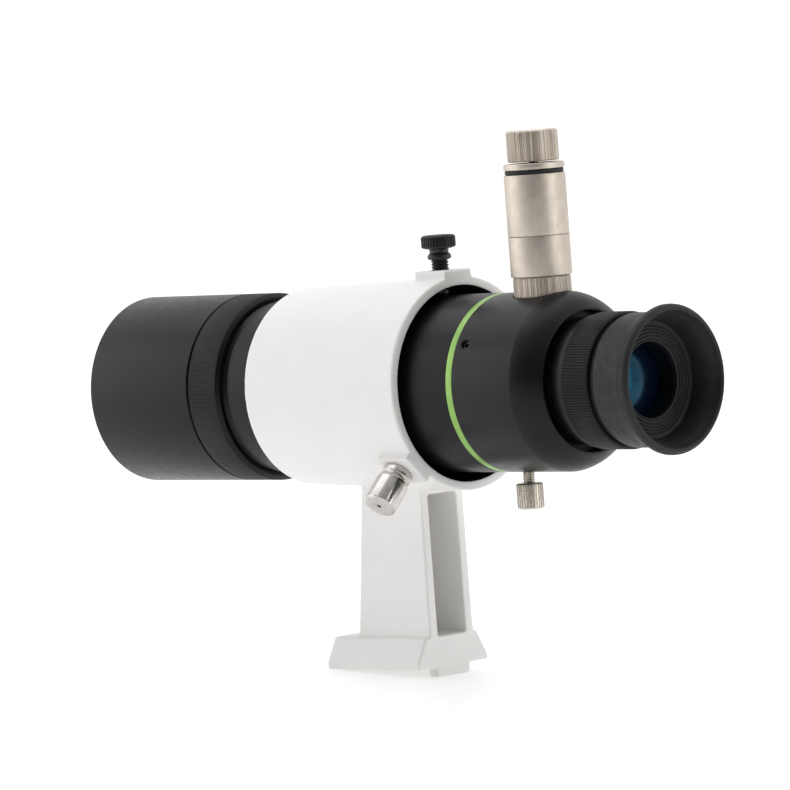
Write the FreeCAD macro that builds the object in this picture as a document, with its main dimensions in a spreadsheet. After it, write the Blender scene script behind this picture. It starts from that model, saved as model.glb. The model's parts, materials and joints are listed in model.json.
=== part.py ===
"""Finder scope: a 50 mm illuminated finder in its tilting ring bracket.

Frame: +Z up, +Y forward towards the objective, +X to the right as seen from the eyepiece.
The origin is the middle of the flat underside of the dovetail foot. Lengths are in mm.
A station is a place along the optical axis, counted from the origin along +Y.
A reach is a distance from the optical axis, counted outwards along a radial screw.
"""
import FreeCAD, Part
import math
import os
import Sketcher

SIZES = {
    # whole object
    "axis_height": 91.5,
    "running_gap": 0.1,
    "seated_gap": 0.05,
    "pressed_gap": 0.02,
    "cutter_overrun": 2.0,
    # bracket ring
    "ring_front": 33.4,
    "ring_rear": -36.0,
    "ring_front_radius": 32.4,
    "ring_rear_radius": 34.6,
    "ring_front_bore": 30.5,
    "ring_rear_bore": 31.45,
    "pad_reach": 36.7,
    "pad_length": 14.0,
    "pad_width": 12.0,
    "screw_station": -28.0,
    # bracket column and its open pocket
    "column_rear": -21.2,
    "column_front": 11.6,
    "column_front_top": 5.4,
    "column_half_width": 10.1,
    "column_half_width_top": 9.75,
    "pocket_half_width": 6.6,
    "pocket_top": 56.1,
    "pocket_depth": 22.0,
    "pocket_corner": 1.0,
    # dovetail foot
    "foot_half_length": 20.9,
    "foot_half_width": 16.15,
    "foot_half_width_top": 11.8,
    "foot_height": 10.0,
    "foot_land": 2.1,
    "tab_half_width": 7.7,
    "tab_length": 4.0,
    "tab_drop": 3.3,
    "tab_corner": 1.2,
    "root_overlap": 0.5,
    # radial adjusting screws, M6 x 1
    "adjust_thread_radius": 2.85,
    "adjust_collar_radius": 3.9,
    "adjust_neck_radius": 3.0,
    "adjust_head_radius": 5.6,
    "adjust_collar_reach": 40.2,
    "adjust_neck_reach": 42.1,
    "adjust_head_reach": 43.8,
    "adjust_end_reach": 48.0,
    "tip_radius": 2.3,
    "tip_dome_radius": 7.0,
    "tip_gap": 0.05,
    "tip_stem_radius": 1.0,
    "tip_flange": 1.5,
    "tip_stem_length": 2.0,
    "tip_socket_depth": 2.2,
    "adjust_collar_edge": 0.5,
    "adjust_collar_slope": 0.8,
    "adjust_head_chamfer": 0.7,
    # spring plunger
    "plunger_thread_radius": 4.25,
    "plunger_collar_radius": 4.8,
    "plunger_cap_radius": 5.3,
    "plunger_end_reach": 51.0,
    "plunger_bore_radius": 3.3,
    "plunger_pin_radius": 2.2,
    "plunger_pin_collar_radius": 3.15,
    "plunger_pin_collar_reach": 34.8,
    "plunger_spring_radius": 2.6,
    "plunger_spring_wire": 0.4,
    "plunger_spring_travel": 1.2,
    "plunger_inset": 0.2,
    "plunger_lip": 0.8,
    "plunger_end_wall": 2.0,
    "plunger_vent_radius": 0.75,
    "plunger_cap_chamfer": 0.6,
    "plunger_collar_length": 2.4,
    "plunger_groove_depth": 0.35,
    "plunger_groove_start": 2.6,
    "plunger_groove_end": 3.2,
    "plunger_cap_start": 3.9,
    "plunger_cap_taper": 0.2,
    "plunger_pin_dome": 4.0,
    "plunger_pin_tail_radius": 1.2,
    "plunger_pin_tail_length": 6.0,
    "plunger_pin_collar_length": 1.3,
    # main tube
    "tube_radius": 28.65,
    "tube_bore": 26.2,
    "tube_thread_radius": 28.15,
    "tube_front": 67.8,
    "tube_thread_end": 45.6,
    "tube_rear": -54.0,
    "pivot_station": 27.5,
    "pivot_groove_bottom": 27.3,
    "pivot_groove_half_width": 2.4,
    "pivot_ring_radius": 28.95,
    "pivot_ring_section": 1.48,
    "glare_stop_bore": 17.0,
    "glare_stop_station": -2.0,
    "glare_stop_thickness": 1.2,
    "tube_relief": 0.4,
    "tube_front_chamfer": 0.5,
    # dew shield with the objective cell
    "shield_front": 109.0,
    "shield_rear": 62.2,
    "shield_radius": 31.0,
    "shield_edge": 0.9,
    "shield_bore": 29.2,
    "shield_bore_end": 84.6,
    "shield_rear_chamfer": 0.2,
    "shield_bore_chamfer": 0.3,
    "cell_thread_bore": 28.25,
    "objective_radius": 26.0,
    "objective_front_curve": 100.0,
    "objective_inner_curve": 80.0,
    "crown_rim_front": 81.1,
    "crown_rim_rear": 78.9,
    "objective_air_gap": 0.3,
    "objective_seat": 71.6,
    "objective_seat_bore": 24.9,
    "objective_seat_rear": 70.1,
    "retainer_radius": 26.6,
    "retainer_bore": 24.4,
    "retainer_front": 83.8,
    "retainer_relief": 0.7,
    "retainer_relief_length": 1.0,
    "foil_width": 0.8,
    # knurled lock ring
    "lock_ring_front": 61.8,
    "lock_ring_rear": 47.9,
    "lock_ring_chamfer": 0.6,
    # accent ring and rear body
    "accent_front": -54.05,
    "accent_rear": -56.65,
    "body_front": -56.7,
    "spigot_front": -41.0,
    "spigot_radius": 26.15,
    "body_bore": 24.9,
    "body_shoulder": -81.7,
    "body_rear": -90.8,
    "body_rear_radius": 23.1,
    "body_dome_radius": 14.0,
    "body_recess_radius": 22.4,
    "body_recess_floor": -84.9,
    "body_neck_bore": 19.4,
    "body_neck_front": -77.4,
    # reticle
    "holder_radius": 24.4,
    "holder_front": -57.4,
    "holder_rear": -76.9,
    "holder_bore": 18.1,
    "holder_seat": -73.4,
    "holder_seat_bore": 16.8,
    "reticle_radius": 18.0,
    "reticle_thickness": 2.0,
    "reticle_retainer_thickness": 1.8,
    "reticle_screw_station": -60.4,
    "set_screw_radius": 1.45,
    "set_screw_outer_reach": 27.6,
    "set_screw_socket_radius": 0.87,
    "set_screw_socket_depth": 1.3,
    "reticle_light_hole_radius": 2.2,
    # nickel thumbscrew under the rear body, M4 x 0.7
    "clamp_thread_radius": 1.9,
    "clamp_head_radius": 4.35,
    "clamp_head_reach": 32.2,
    "clamp_end_reach": 40.5,
    "clamp_tip_radius": 1.5,
    "clamp_tip_length": 1.0,
    "clamp_head_chamfer": 0.5,
    "clamp_stem_radius": 0.7,
    "clamp_stem_length": 1.5,
    "clamp_socket_depth": 1.7,
    # illuminator
    "light_station": -72.4,
    "light_seat": 27.2,
    "light_stem_radius": 3.95,
    "light_stem_end": 24.7,
    "light_bore_radius": 1.7,
    "light_seat_clearance": 0.2,
    "light_grip_radius": 9.3,
    "light_grip_top": 33.6,
    "light_spigot_radius": 8.0,
    "light_spigot_top": 37.6,
    "case_radius": 9.8,
    "case_bottom": 33.75,
    "case_seam": 46.6,
    "case_top": 66.1,
    "case_bore": 8.1,
    "case_joint_radius": 8.7,
    "case_joint_length": 3.0,
    "led_radius": 1.5,
    "led_bottom": 24.9,
    "led_top": 30.0,
    "led_dome": 1.2,
    "case_end_clearance": 0.5,
    "board_bottom": 38.2,
    "board_thickness": 1.0,
    "cell_radius": 5.8,
    "cell_height": 5.4,
    "cell_gap": 0.027,
    "cell_sleeve_inset": 1.0,
    "cell_sleeve_radius": 6.8,
    "cell_bottom": 42.6,
    "contact_spring_radius": 3.2,
    "contact_spring_wire": 0.3,
    "contact_spring_gap": 0.2,
    "seal_ring_radius": 9.35,
    "seal_ring_bore": 7.0,
    "switch_seat": 67.6,
    "switch_flange_radius": 9.7,
    "switch_flange_top": 69.6,
    "switch_plug_radius": 6.9,
    "switch_plug_length": 3.0,
    "shaft_clearance": 0.5,
    "knob_roof": 2.0,
    "dimmer_bottom": 60.0,
    "dimmer_radius": 5.6,
    "dimmer_top": 66.0,
    "dimmer_shaft_radius": 1.5,
    "knob_radius": 8.25,
    "knob_bottom": 70.05,
    "knob_top": 80.0,
    "knob_edge": 0.8,
    # eyepiece
    "skirt_front": -78.9,
    "skirt_radius": 19.3,
    "collar_front": -88.0,
    "collar_flare": -91.6,
    "collar_radius": 20.0,
    "collar_flare_radius": 12.0,
    "grip_front": -97.2,
    "grip_rear": -108.1,
    "grip_radius": 21.7,
    "grip_chamfer": 0.3,
    "groove_radius": 20.2,
    "groove_rear": -110.2,
    "neck_radius": 18.65,
    "neck_rear": -114.2,
    "eye_bore": 12.4,
    "eye_lens_seat": -108.4,
    "eye_lens_radius": 13.0,
    "eye_lens_land": 12.3,
    "eye_lens_rear_curve": 28.0,
    "eye_lens_front": -104.9,
    "eye_lens_inner_curve": 24.0,
    "eye_flint_front": -99.5,
    "eye_spacer_bore": 11.4,
    "field_lens_seat": -94.0,
    "field_lens_radius": 15.0,
    "field_lens_rim": -91.6,
    "field_lens_curve": 45.0,
    "field_retainer_rear": -91.1,
    "field_retainer_front": -88.5,
    "field_retainer_bore": 13.6,
    "field_stop_rear": -81.4,
    "field_stop_front": -79.9,
    "field_stop_bore": 9.5,
    # rubber eyecup
    "cup_radius": 21.2,
    "cup_bend": -118.0,
    "cup_bend_curve": 16.0,
    "cup_rim": -123.9,
    "cup_rim_radius": 23.65,
    "cup_lip": -126.4,
    "cup_lip_radius": 22.3,
    "cup_lip_inner_radius": 21.6,
    "cup_lip_round": 0.5,
    "cup_lip_hollow": 0.4,
    "cup_floor": -116.2,
    "cup_floor_radius": 18.4,
    "cup_opening": 12.0,
}


class Size:
    """A number that also knows the spreadsheet formula it comes from."""

    def __init__(self, value, formula):
        self.value = value
        self.formula = formula

    def __add__(self, other):
        other = as_size(other)
        return Size(self.value + other.value, f"({self.formula} + {other.formula})")

    def __sub__(self, other):
        other = as_size(other)
        return Size(self.value - other.value, f"({self.formula} - {other.formula})")

    def __mul__(self, factor):
        return Size(self.value * factor, f"({self.formula} * {factor})")

    def __neg__(self):
        return Size(-self.value, f"(-1 * {self.formula})")


def as_size(number):
    """A Size from a plain number, or the Size itself."""
    if isinstance(number, Size):
        return number
    return Size(float(number), repr(float(number)))


def sag(curve, reach):
    """Depth of a spherical surface of radius curve, out to a distance reach from its axis."""
    depth = curve.value - math.sqrt(curve.value**2 - reach.value**2)
    formula = f"({curve.formula} - sqrt({curve.formula} ^ 2 - {reach.formula} ^ 2))"
    return Size(depth, formula)


def write_sheet():
    """Put every driving size into the spreadsheet, and return them as Size values by name."""
    sheet = doc.addObject("Spreadsheet::Sheet", "Sizes")
    named = {}
    for row, (name, value) in enumerate(SIZES.items(), start=1):
        sheet.set(f"A{row}", name)
        sheet.set(f"B{row}", str(value))
        sheet.setAlias(f"B{row}", name)
        named[name] = Size(float(value), f"Sizes.{name}")
    return named


doc = FreeCAD.newDocument("finder_scope")
size = write_sheet()
doc.recompute()

AXIS = size["axis_height"]
GAP = size["running_gap"]
SEATED = size["seated_gap"]
PRESSED = size["pressed_gap"]
OVERRUN = size["cutter_overrun"]
ZERO = as_size(0.0)
finished = []


# ---------------------------------------------------------------- placing

def bind(obj, **formulas):
    """Bind properties of obj to sizes."""
    for name, length in formulas.items():
        obj.setExpression(name, as_size(length).formula)


def place(obj, rotation, x=ZERO, y=ZERO, z=ZERO):
    """Turn obj and put its own origin at a place given by sizes."""
    x, y, z = as_size(x), as_size(y), as_size(z)
    obj.Placement = FreeCAD.Placement(FreeCAD.Vector(x.value, y.value, z.value), rotation)
    for name, length in (("x", x), ("y", y), ("z", z)):
        obj.setExpression(f"Placement.Base.{name}", length.formula)


def on_axis(obj, y=ZERO):
    """Keep obj's own Y along the optical axis."""
    place(obj, FreeCAD.Rotation(), y=y, z=AXIS)


def clock_rotation(clock):
    """Turn own Y outwards: clock is degrees clockwise from the top, seen from the eyepiece."""
    lift = FreeCAD.Rotation(FreeCAD.Vector(1, 0, 0), 90)
    return FreeCAD.Rotation(FreeCAD.Vector(0, 1, 0), clock) * lift


def on_radius(obj, station, clock):
    """Put obj's own Y along a radius of the tube, at a station and a clock angle."""
    place(obj, clock_rotation(clock), y=station, z=AXIS)


def finish(obj, label):
    """Name obj as a finished piece."""
    obj.Label = label
    finished.append(obj)
    return obj


# ---------------------------------------------------------------- turned pieces

def arc_between(start, end, radius, centre_left):
    """An arc of the given radius from start to end, and which of its ends is the start."""
    chord = end - start
    half = chord.Length / 2
    side = FreeCAD.Vector(-chord.y, chord.x, 0).normalize()
    if not centre_left:
        side = side * -1
    centre = start + chord * 0.5 + side * math.sqrt(radius**2 - half**2)
    start_angle = math.atan2(start.y - centre.y, start.x - centre.x)
    end_angle = math.atan2(end.y - centre.y, end.x - centre.x)
    circle = Part.Circle(centre, FreeCAD.Vector(0, 0, 1), radius)
    if centre_left:
        return Part.ArcOfCircle(circle, start_angle, end_angle), (1, 2)
    return Part.ArcOfCircle(circle, end_angle, start_angle), (2, 1)


def draw_outline(sketch, outline):
    """Draw a closed outline and bind its corners.

    Each corner is (across, along), or (across, along, curve, centre_left) where the side that
    follows is an arc of radius curve, with its centre to the left of the way from this corner to
    the next one.
    """
    corners = [(as_size(item[0]), as_size(item[1])) for item in outline]
    points = [FreeCAD.Vector(across.value, along.value, 0) for across, along in corners]
    ends = []
    for index, item in enumerate(outline):
        start, end = points[index], points[(index + 1) % len(points)]
        if len(item) == 2:
            sketch.addGeometry(Part.LineSegment(start, end), False)
            ends.append((1, 2))
        else:
            arc, order = arc_between(start, end, item[2].value, item[3])
            sketch.addGeometry(arc, False)
            ends.append(order)
    for index in range(len(points)):
        after = (index + 1) % len(points)
        sketch.addConstraint(
            Sketcher.Constraint("Coincident", index, ends[index][1], after, ends[after][0])
        )
    for index, (across, along) in enumerate(corners):
        bind_coordinate(sketch, index, ends[index][0], "DistanceX", -2, across)
        bind_coordinate(sketch, index, ends[index][0], "DistanceY", -1, along)
    for index, item in enumerate(outline):
        if len(item) > 2:
            number = sketch.addConstraint(Sketcher.Constraint("Radius", index, item[2].value))
            sketch.setExpression(f"Constraints[{number}]", item[2].formula)


def bind_coordinate(sketch, geometry, end, kind, axis, length):
    """Tie one coordinate of a corner to a size, or lay the corner on the axis where it is 0."""
    if abs(length.value) < 1e-9:
        sketch.addConstraint(Sketcher.Constraint("PointOnObject", geometry, end, axis))
        return
    number = sketch.addConstraint(
        Sketcher.Constraint(kind, -1, 1, geometry, end, length.value)
    )
    sketch.setExpression(f"Constraints[{number}]", length.formula)


def origin_plane(body, role):
    """The body's own origin plane with this role."""
    return next(item for item in body.Origin.OriginFeatures if item.Role == role)


def outline_sketch(body, outline):
    """A sketch of the outline on the body's own XY plane."""
    sketch = body.newObject("Sketcher::SketchObject", body.Name + "_outline")
    sketch.AttachmentSupport = [(origin_plane(body, "XY_Plane"), "")]
    sketch.MapMode = "FlatFace"
    draw_outline(sketch, outline)
    return sketch


def turned(label, outline):
    """A piece turned about its own Y axis; the outline runs in (radius, along)."""
    body = doc.addObject("PartDesign::Body", label)
    sketch = outline_sketch(body, outline)
    turning = body.newObject("PartDesign::Revolution", label + "_turning")
    turning.Profile = sketch
    turning.ReferenceAxis = (sketch, ["V_Axis"])
    turning.Angle = 360
    return body


def washer(radius, bore, low, high):
    """Outline of a plain ring."""
    return [(bore, low), (radius, low), (radius, high), (bore, high)]


def disc(radius, low, high):
    """Outline of a plain disc or rod."""
    return [(ZERO, low), (radius, low), (radius, high), (ZERO, high)]


def rod(radius, low, high, clock, station):
    """A plain cylinder along a radius of the tube, used to cut holes."""
    cylinder = doc.addObject("Part::Cylinder", "rod")
    bind(cylinder, Radius=radius, Height=high - low)
    outward = FreeCAD.Rotation(FreeCAD.Vector(0, 1, 0), clock)
    direction = outward.multVec(FreeCAD.Vector(0, 0, 1))
    place(cylinder, outward, low * direction.x, station, AXIS + low * direction.z)
    return cylinder


def fused(name, shapes):
    """One solid from several."""
    union = doc.addObject("Part::MultiFuse", name)
    union.Shapes = shapes
    union.Refine = True
    return union


def cut(name, base, tools):
    """base with all the tools taken away."""
    result = doc.addObject("Part::Cut", name)
    result.Base = base
    result.Tool = tools[0] if len(tools) == 1 else fused(name + "_tools", tools)
    result.Refine = True
    return result


# ---------------------------------------------------------------- bracket

TOP_CLOCK = 0.0
SIDE_CLOCK = 90.0
PLUNGER_CLOCK = 225.0
PLUNGER_SPRING_TURNS = 6.0


def bracket_ring(rear_radius, front_radius, overrun):
    """A cone along the optical axis, from the ring's rear face to its front face."""
    cone = doc.addObject("Part::Cone", "ring_cone")
    bind(cone, Radius1=rear_radius, Radius2=front_radius)
    bind(cone, Height=size["ring_front"] - size["ring_rear"] + overrun * 2)
    forward = FreeCAD.Rotation(FreeCAD.Vector(1, 0, 0), -90)
    place(cone, forward, ZERO, size["ring_rear"] - overrun, AXIS)
    return cone


def bracket_pad(clock):
    """The raised pad round a radial screw; its outer face is flat."""
    pad = doc.addObject("Part::Box", "pad")
    height = size["pad_reach"] - size["ring_rear_bore"]
    bind(pad, Length=size["pad_width"], Width=size["pad_length"], Height=height)
    outward = FreeCAD.Rotation(FreeCAD.Vector(0, 1, 0), clock)
    along, across = math.cos(math.radians(clock)), math.sin(math.radians(clock))
    half, inner = size["pad_width"] * 0.5, size["ring_rear_bore"]
    x = inner * across - half * along
    z = AXIS + inner * along + half * across
    place(pad, outward, x, size["ring_rear"], z)
    return pad


def tapered_block(name, low, high, half_bottom, half_top, rear, front, rear_top, front_top):
    """A block between two heights whose width and front and rear faces may slope."""
    wedge = doc.addObject("Part::Wedge", name)
    bind(wedge, Ymin=ZERO, Ymax=high - low)
    bind(wedge, Xmin=-half_bottom, Xmax=half_bottom, X2min=-half_top, X2max=half_top)
    bind(wedge, Zmin=-front, Zmax=-rear, Z2min=-front_top, Z2max=-rear_top)
    place(wedge, FreeCAD.Rotation(FreeCAD.Vector(1, 0, 0), 90), ZERO, ZERO, low)
    return wedge


def bracket_foot():
    """The dovetail foot: narrow at the top, with a short upright land at the bottom."""
    half, rear = size["foot_half_length"], -size["foot_half_length"]
    bottom, top = size["foot_half_width"], size["foot_half_width_top"]
    land = tapered_block(
        "foot_land", ZERO, size["foot_land"], bottom, bottom, rear, half, rear, half
    )
    slope = tapered_block(
        "foot_slope", size["foot_land"], size["foot_height"], bottom, top, rear, half, rear, half
    )
    return [land, slope]


def stop_tab():
    """The rounded tab under the foot's rear end that stops it sliding through its shoe."""
    tab = doc.addObject("PartDesign::Body", "stop_tab")
    half, drop, corner = size["tab_half_width"], size["tab_drop"], size["tab_corner"]
    root = size["root_overlap"]
    sketch = outline_sketch(tab, [
        (-half, root),
        (-half, corner - drop, corner, True),
        (corner - half, -drop),
        (half - corner, -drop, corner, True),
        (half, corner - drop),
        (half, root),
    ])
    pad = tab.newObject("PartDesign::Pad", "stop_tab_pad")
    pad.Profile = sketch
    bind(pad, Length=size["tab_length"])
    upright = FreeCAD.Rotation(FreeCAD.Vector(1, 0, 0), 90)
    place(tab, upright, ZERO, size["tab_length"] - size["foot_half_length"], ZERO)
    return tab


def column_pocket():
    """The open pocket in the column's rear face, with rounded upright corners."""
    pocket = doc.addObject("PartDesign::Body", "column_pocket")
    half, corner = size["pocket_half_width"], size["pocket_corner"]
    low, high = size["foot_height"], size["pocket_top"]
    sketch = outline_sketch(pocket, [
        (-half, low),
        (half, low),
        (half, high - corner, corner, True),
        (half - corner, high),
        (corner - half, high, corner, True),
        (-half, high - corner),
    ])
    pad = pocket.newObject("PartDesign::Pad", "column_pocket_pad")
    pad.Profile = sketch
    bind(pad, Length=size["pocket_depth"] + OVERRUN)
    upright = FreeCAD.Rotation(FreeCAD.Vector(1, 0, 0), 90)
    place(pocket, upright, ZERO, size["column_rear"] + size["pocket_depth"], ZERO)
    return pocket


def ring_bracket():
    """The casting: ring, three screw pads, column with its pocket, dovetail foot and stop tab."""
    ring = bracket_ring(size["ring_rear_radius"], size["ring_front_radius"], ZERO)
    column = tapered_block(
        "column", size["foot_height"] - size["root_overlap"], AXIS - size["ring_front_bore"],
        size["column_half_width"], size["column_half_width_top"],
        size["column_rear"], size["column_front"],
        size["column_rear"], size["column_front_top"],
    )
    pads = [bracket_pad(clock) for clock in (TOP_CLOCK, SIDE_CLOCK, PLUNGER_CLOCK)]
    blank = fused("bracket_blank", [ring, column, stop_tab()] + pads + bracket_foot())
    slope = (SIZES["ring_rear_bore"] - SIZES["ring_front_bore"]) / (
        SIZES["ring_front"] - SIZES["ring_rear"]
    )
    step = OVERRUN * slope
    bore = bracket_ring(size["ring_rear_bore"] + step, size["ring_front_bore"] - step, OVERRUN)
    hole_start = size["ring_front_bore"] - OVERRUN
    hole_end = size["pad_reach"] + OVERRUN
    screw_holes = [
        rod(size["adjust_thread_radius"] + GAP, hole_start, hole_end, clock,
            size["screw_station"])
        for clock in (TOP_CLOCK, SIDE_CLOCK)
    ]
    plunger_hole = rod(
        size["plunger_thread_radius"], hole_start, hole_end, PLUNGER_CLOCK, size["screw_station"]
    )
    tools = [bore, column_pocket(), plunger_hole] + screw_holes
    finish(cut("ring_bracket", blank, tools), "ring_bracket")


# ---------------------------------------------------------------- radial screws

def adjusting_screw(label, clock):
    """A black M6 thumbscrew: knurled head, neck, flared collar and thread, with a tip socket."""
    thread, collar = size["adjust_thread_radius"], size["adjust_collar_radius"]
    neck, head = size["adjust_neck_radius"], size["adjust_head_radius"]
    collar_low, collar_high = size["adjust_collar_reach"], size["adjust_neck_reach"]
    start = size["tube_radius"] + size["tip_gap"] + size["tip_flange"]
    socket = size["tip_stem_radius"] + GAP
    socket_end = start + size["tip_socket_depth"]
    chamfer = size["adjust_head_chamfer"]
    screw = turned(label, [
        (socket, start),
        (thread, start),
        (thread, collar_low),
        (collar, collar_low + size["adjust_collar_edge"]),
        (collar, collar_high - size["adjust_collar_slope"]),
        (neck, collar_high),
        (neck, size["adjust_head_reach"]),
        (head, size["adjust_head_reach"]),
        (head, size["adjust_end_reach"] - chamfer),
        (head - chamfer, size["adjust_end_reach"]),
        (ZERO, size["adjust_end_reach"]),
        (ZERO, socket_end),
        (socket, socket_end),
    ])
    on_radius(screw, size["screw_station"], clock)
    finish(screw, label)


def screw_tip(label, clock):
    """The nylon tip that the screw turns in: a domed pad with a short stem."""
    dome, radius, stem = size["tip_dome_radius"], size["tip_radius"], size["tip_stem_radius"]
    start = size["tube_radius"] + size["tip_gap"]
    face = start + sag(dome, radius)
    back = start + size["tip_flange"]
    end = back + size["tip_stem_length"]
    tip = turned(label, [
        (ZERO, start, dome, True),
        (radius, face),
        (radius, back),
        (stem, back),
        (stem, end),
        (ZERO, end),
    ])
    on_radius(tip, size["screw_station"], clock)
    finish(tip, label)


def plunger_housing():
    """The nickel cap of the spring plunger, screwed into the lower left pad."""
    thread, collar = size["plunger_thread_radius"], size["plunger_collar_radius"]
    cap, bore = size["plunger_cap_radius"], size["plunger_bore_radius"]
    lip, vent = size["plunger_pin_radius"] + GAP, size["plunger_vent_radius"]
    pad, end = size["pad_reach"], size["plunger_end_reach"]
    inner = size["ring_rear_bore"] + size["plunger_inset"]
    lip_end = inner + size["plunger_lip"]
    bore_end = end - size["plunger_end_wall"]
    groove = collar - size["plunger_groove_depth"]
    chamfer = size["plunger_cap_chamfer"]
    housing = turned("plunger_housing", [
        (lip, inner),
        (thread, inner),
        (thread, pad),
        (collar, pad),
        (collar, pad + size["plunger_collar_length"]),
        (groove, pad + size["plunger_groove_start"]),
        (groove, pad + size["plunger_groove_end"]),
        (cap - size["plunger_cap_taper"], pad + size["plunger_cap_start"]),
        (cap, end - chamfer),
        (cap - chamfer, end),
        (vent, end),
        (vent, bore_end),
        (bore, bore_end),
        (bore, lip_end),
        (lip, lip_end),
    ])
    on_radius(housing, size["screw_station"], PLUNGER_CLOCK)
    finish(housing, "plunger_housing")


def plunger_pin():
    """The domed pin that the spring pushes against the tube."""
    pin, collar = size["plunger_pin_radius"], size["plunger_pin_collar_radius"]
    start, ledge = size["tube_radius"] + size["tip_gap"], size["plunger_pin_collar_reach"]
    dome, tail = size["plunger_pin_dome"], size["plunger_pin_tail_radius"]
    collar_end = ledge + size["plunger_pin_collar_length"]
    tail_end = ledge + size["plunger_pin_tail_length"]
    piece = turned("plunger_pin", [
        (ZERO, start, dome, True),
        (pin, start + sag(dome, pin)),
        (pin, ledge),
        (collar, ledge),
        (collar, collar_end),
        (tail, collar_end),
        (tail, tail_end),
        (ZERO, tail_end),
    ])
    on_radius(piece, size["screw_station"], PLUNGER_CLOCK)
    finish(piece, "plunger_pin")


def coil_spring(label, radius, wire, low, high, turns, rotation, station):
    """A round-wire coil spring along a radius of the tube."""
    helix = doc.addObject("Part::Helix", label + "_helix")
    travel = high - low - wire * 2
    bind(helix, Pitch=travel * (1.0 / turns), Height=travel, Radius=radius)
    section = doc.addObject("Part::Circle", label + "_wire")
    bind(section, Radius=wire)
    place(section, FreeCAD.Rotation(FreeCAD.Vector(1, 0, 0), 90), radius, ZERO, ZERO)
    coil = doc.addObject("Part::Sweep", label)
    coil.Sections = [section]
    coil.Spine = (helix, ["Edge1"])
    coil.Solid = True
    coil.Frenet = True
    direction = rotation.multVec(FreeCAD.Vector(0, 0, 1))
    start = low + wire
    place(coil, rotation, start * direction.x, station, AXIS + start * direction.z)
    finish(coil, label)


def plunger_spring():
    """The spring between the pin's collar and the end of the plunger's bore."""
    collar_end = size["plunger_pin_collar_reach"] + size["plunger_pin_collar_length"]
    bore_end = size["plunger_end_reach"] - size["plunger_end_wall"]
    travel = size["plunger_spring_travel"]
    coil_spring(
        "plunger_spring", size["plunger_spring_radius"], size["plunger_spring_wire"],
        collar_end + travel, bore_end - travel, PLUNGER_SPRING_TURNS,
        FreeCAD.Rotation(FreeCAD.Vector(0, 1, 0), PLUNGER_CLOCK), size["screw_station"],
    )


# ---------------------------------------------------------------- tube and objective

def pivot_ring():
    """The rubber ring near the front of the bracket on which the tube tilts."""
    ring = doc.addObject("Part::Torus", "pivot_ring")
    bind(ring, Radius1=size["pivot_ring_radius"], Radius2=size["pivot_ring_section"])
    along = FreeCAD.Rotation(FreeCAD.Vector(1, 0, 0), 90)
    place(ring, along, ZERO, size["pivot_station"], AXIS)
    finish(ring, "pivot_ring")


def main_tube():
    """The main tube: fine thread at the front, groove for the pivot ring, plain bore."""
    radius, bore, thread = size["tube_radius"], size["tube_bore"], size["tube_thread_radius"]
    groove, half = size["pivot_groove_bottom"], size["pivot_groove_half_width"]
    pivot = size["pivot_station"]
    relief, chamfer = size["tube_relief"], size["tube_front_chamfer"]
    tube = turned("main_tube", [
        (bore, size["tube_rear"]),
        (radius, size["tube_rear"]),
        (radius, pivot - half),
        (groove, pivot - half),
        (groove, pivot + half),
        (radius, pivot + half),
        (radius, size["tube_thread_end"] - relief),
        (radius - relief, size["tube_thread_end"]),
        (thread, size["tube_thread_end"]),
        (thread, size["tube_front"] - chamfer),
        (thread - chamfer, size["tube_front"]),
        (bore, size["tube_front"]),
    ])
    on_axis(tube)
    finish(tube, "main_tube")


def glare_stop():
    """The blackened stop inside the main tube."""
    front = size["glare_stop_station"] + size["glare_stop_thickness"]
    stop = turned("glare_stop", washer(
        size["tube_bore"] - SEATED, size["glare_stop_bore"], size["glare_stop_station"], front
    ))
    on_axis(stop)
    finish(stop, "glare_stop")


def dew_shield():
    """The dew shield and objective cell, turned in one piece and screwed over the tube."""
    radius, bore, edge = size["shield_radius"], size["shield_bore"], size["shield_edge"]
    front, rear = size["shield_front"], size["shield_rear"]
    lens_bore = size["objective_radius"] + GAP
    ring_bore = size["retainer_radius"] + GAP
    seat, seat_rear = size["objective_seat"], size["objective_seat_rear"]
    rear_chamfer, bore_chamfer = size["shield_rear_chamfer"], size["shield_bore_chamfer"]
    shield = turned("dew_shield", [
        (size["cell_thread_bore"], rear),
        (radius - rear_chamfer, rear),
        (radius, rear + rear_chamfer),
        (radius, front - edge, edge, True),
        (radius - edge, front),
        (bore + bore_chamfer, front),
        (bore, front - bore_chamfer),
        (bore, size["shield_bore_end"]),
        (ring_bore, size["shield_bore_end"]),
        (ring_bore, size["crown_rim_front"]),
        (lens_bore, size["crown_rim_front"]),
        (lens_bore, seat),
        (size["objective_seat_bore"], seat),
        (size["objective_seat_bore"], seat_rear),
        (size["cell_thread_bore"], seat_rear),
    ])
    on_axis(shield)
    finish(shield, "dew_shield")


def lock_ring():
    """The straight-knurled ring that locks the objective cell on its thread."""
    radius, chamfer = size["shield_radius"], size["lock_ring_chamfer"]
    front, rear = size["lock_ring_front"], size["lock_ring_rear"]
    ring = turned("lock_ring", [
        (size["cell_thread_bore"], rear),
        (radius - chamfer, rear),
        (radius, rear + chamfer),
        (radius, front - chamfer),
        (radius - chamfer, front),
        (size["cell_thread_bore"], front),
    ])
    on_axis(ring)
    finish(ring, "lock_ring")


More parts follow.
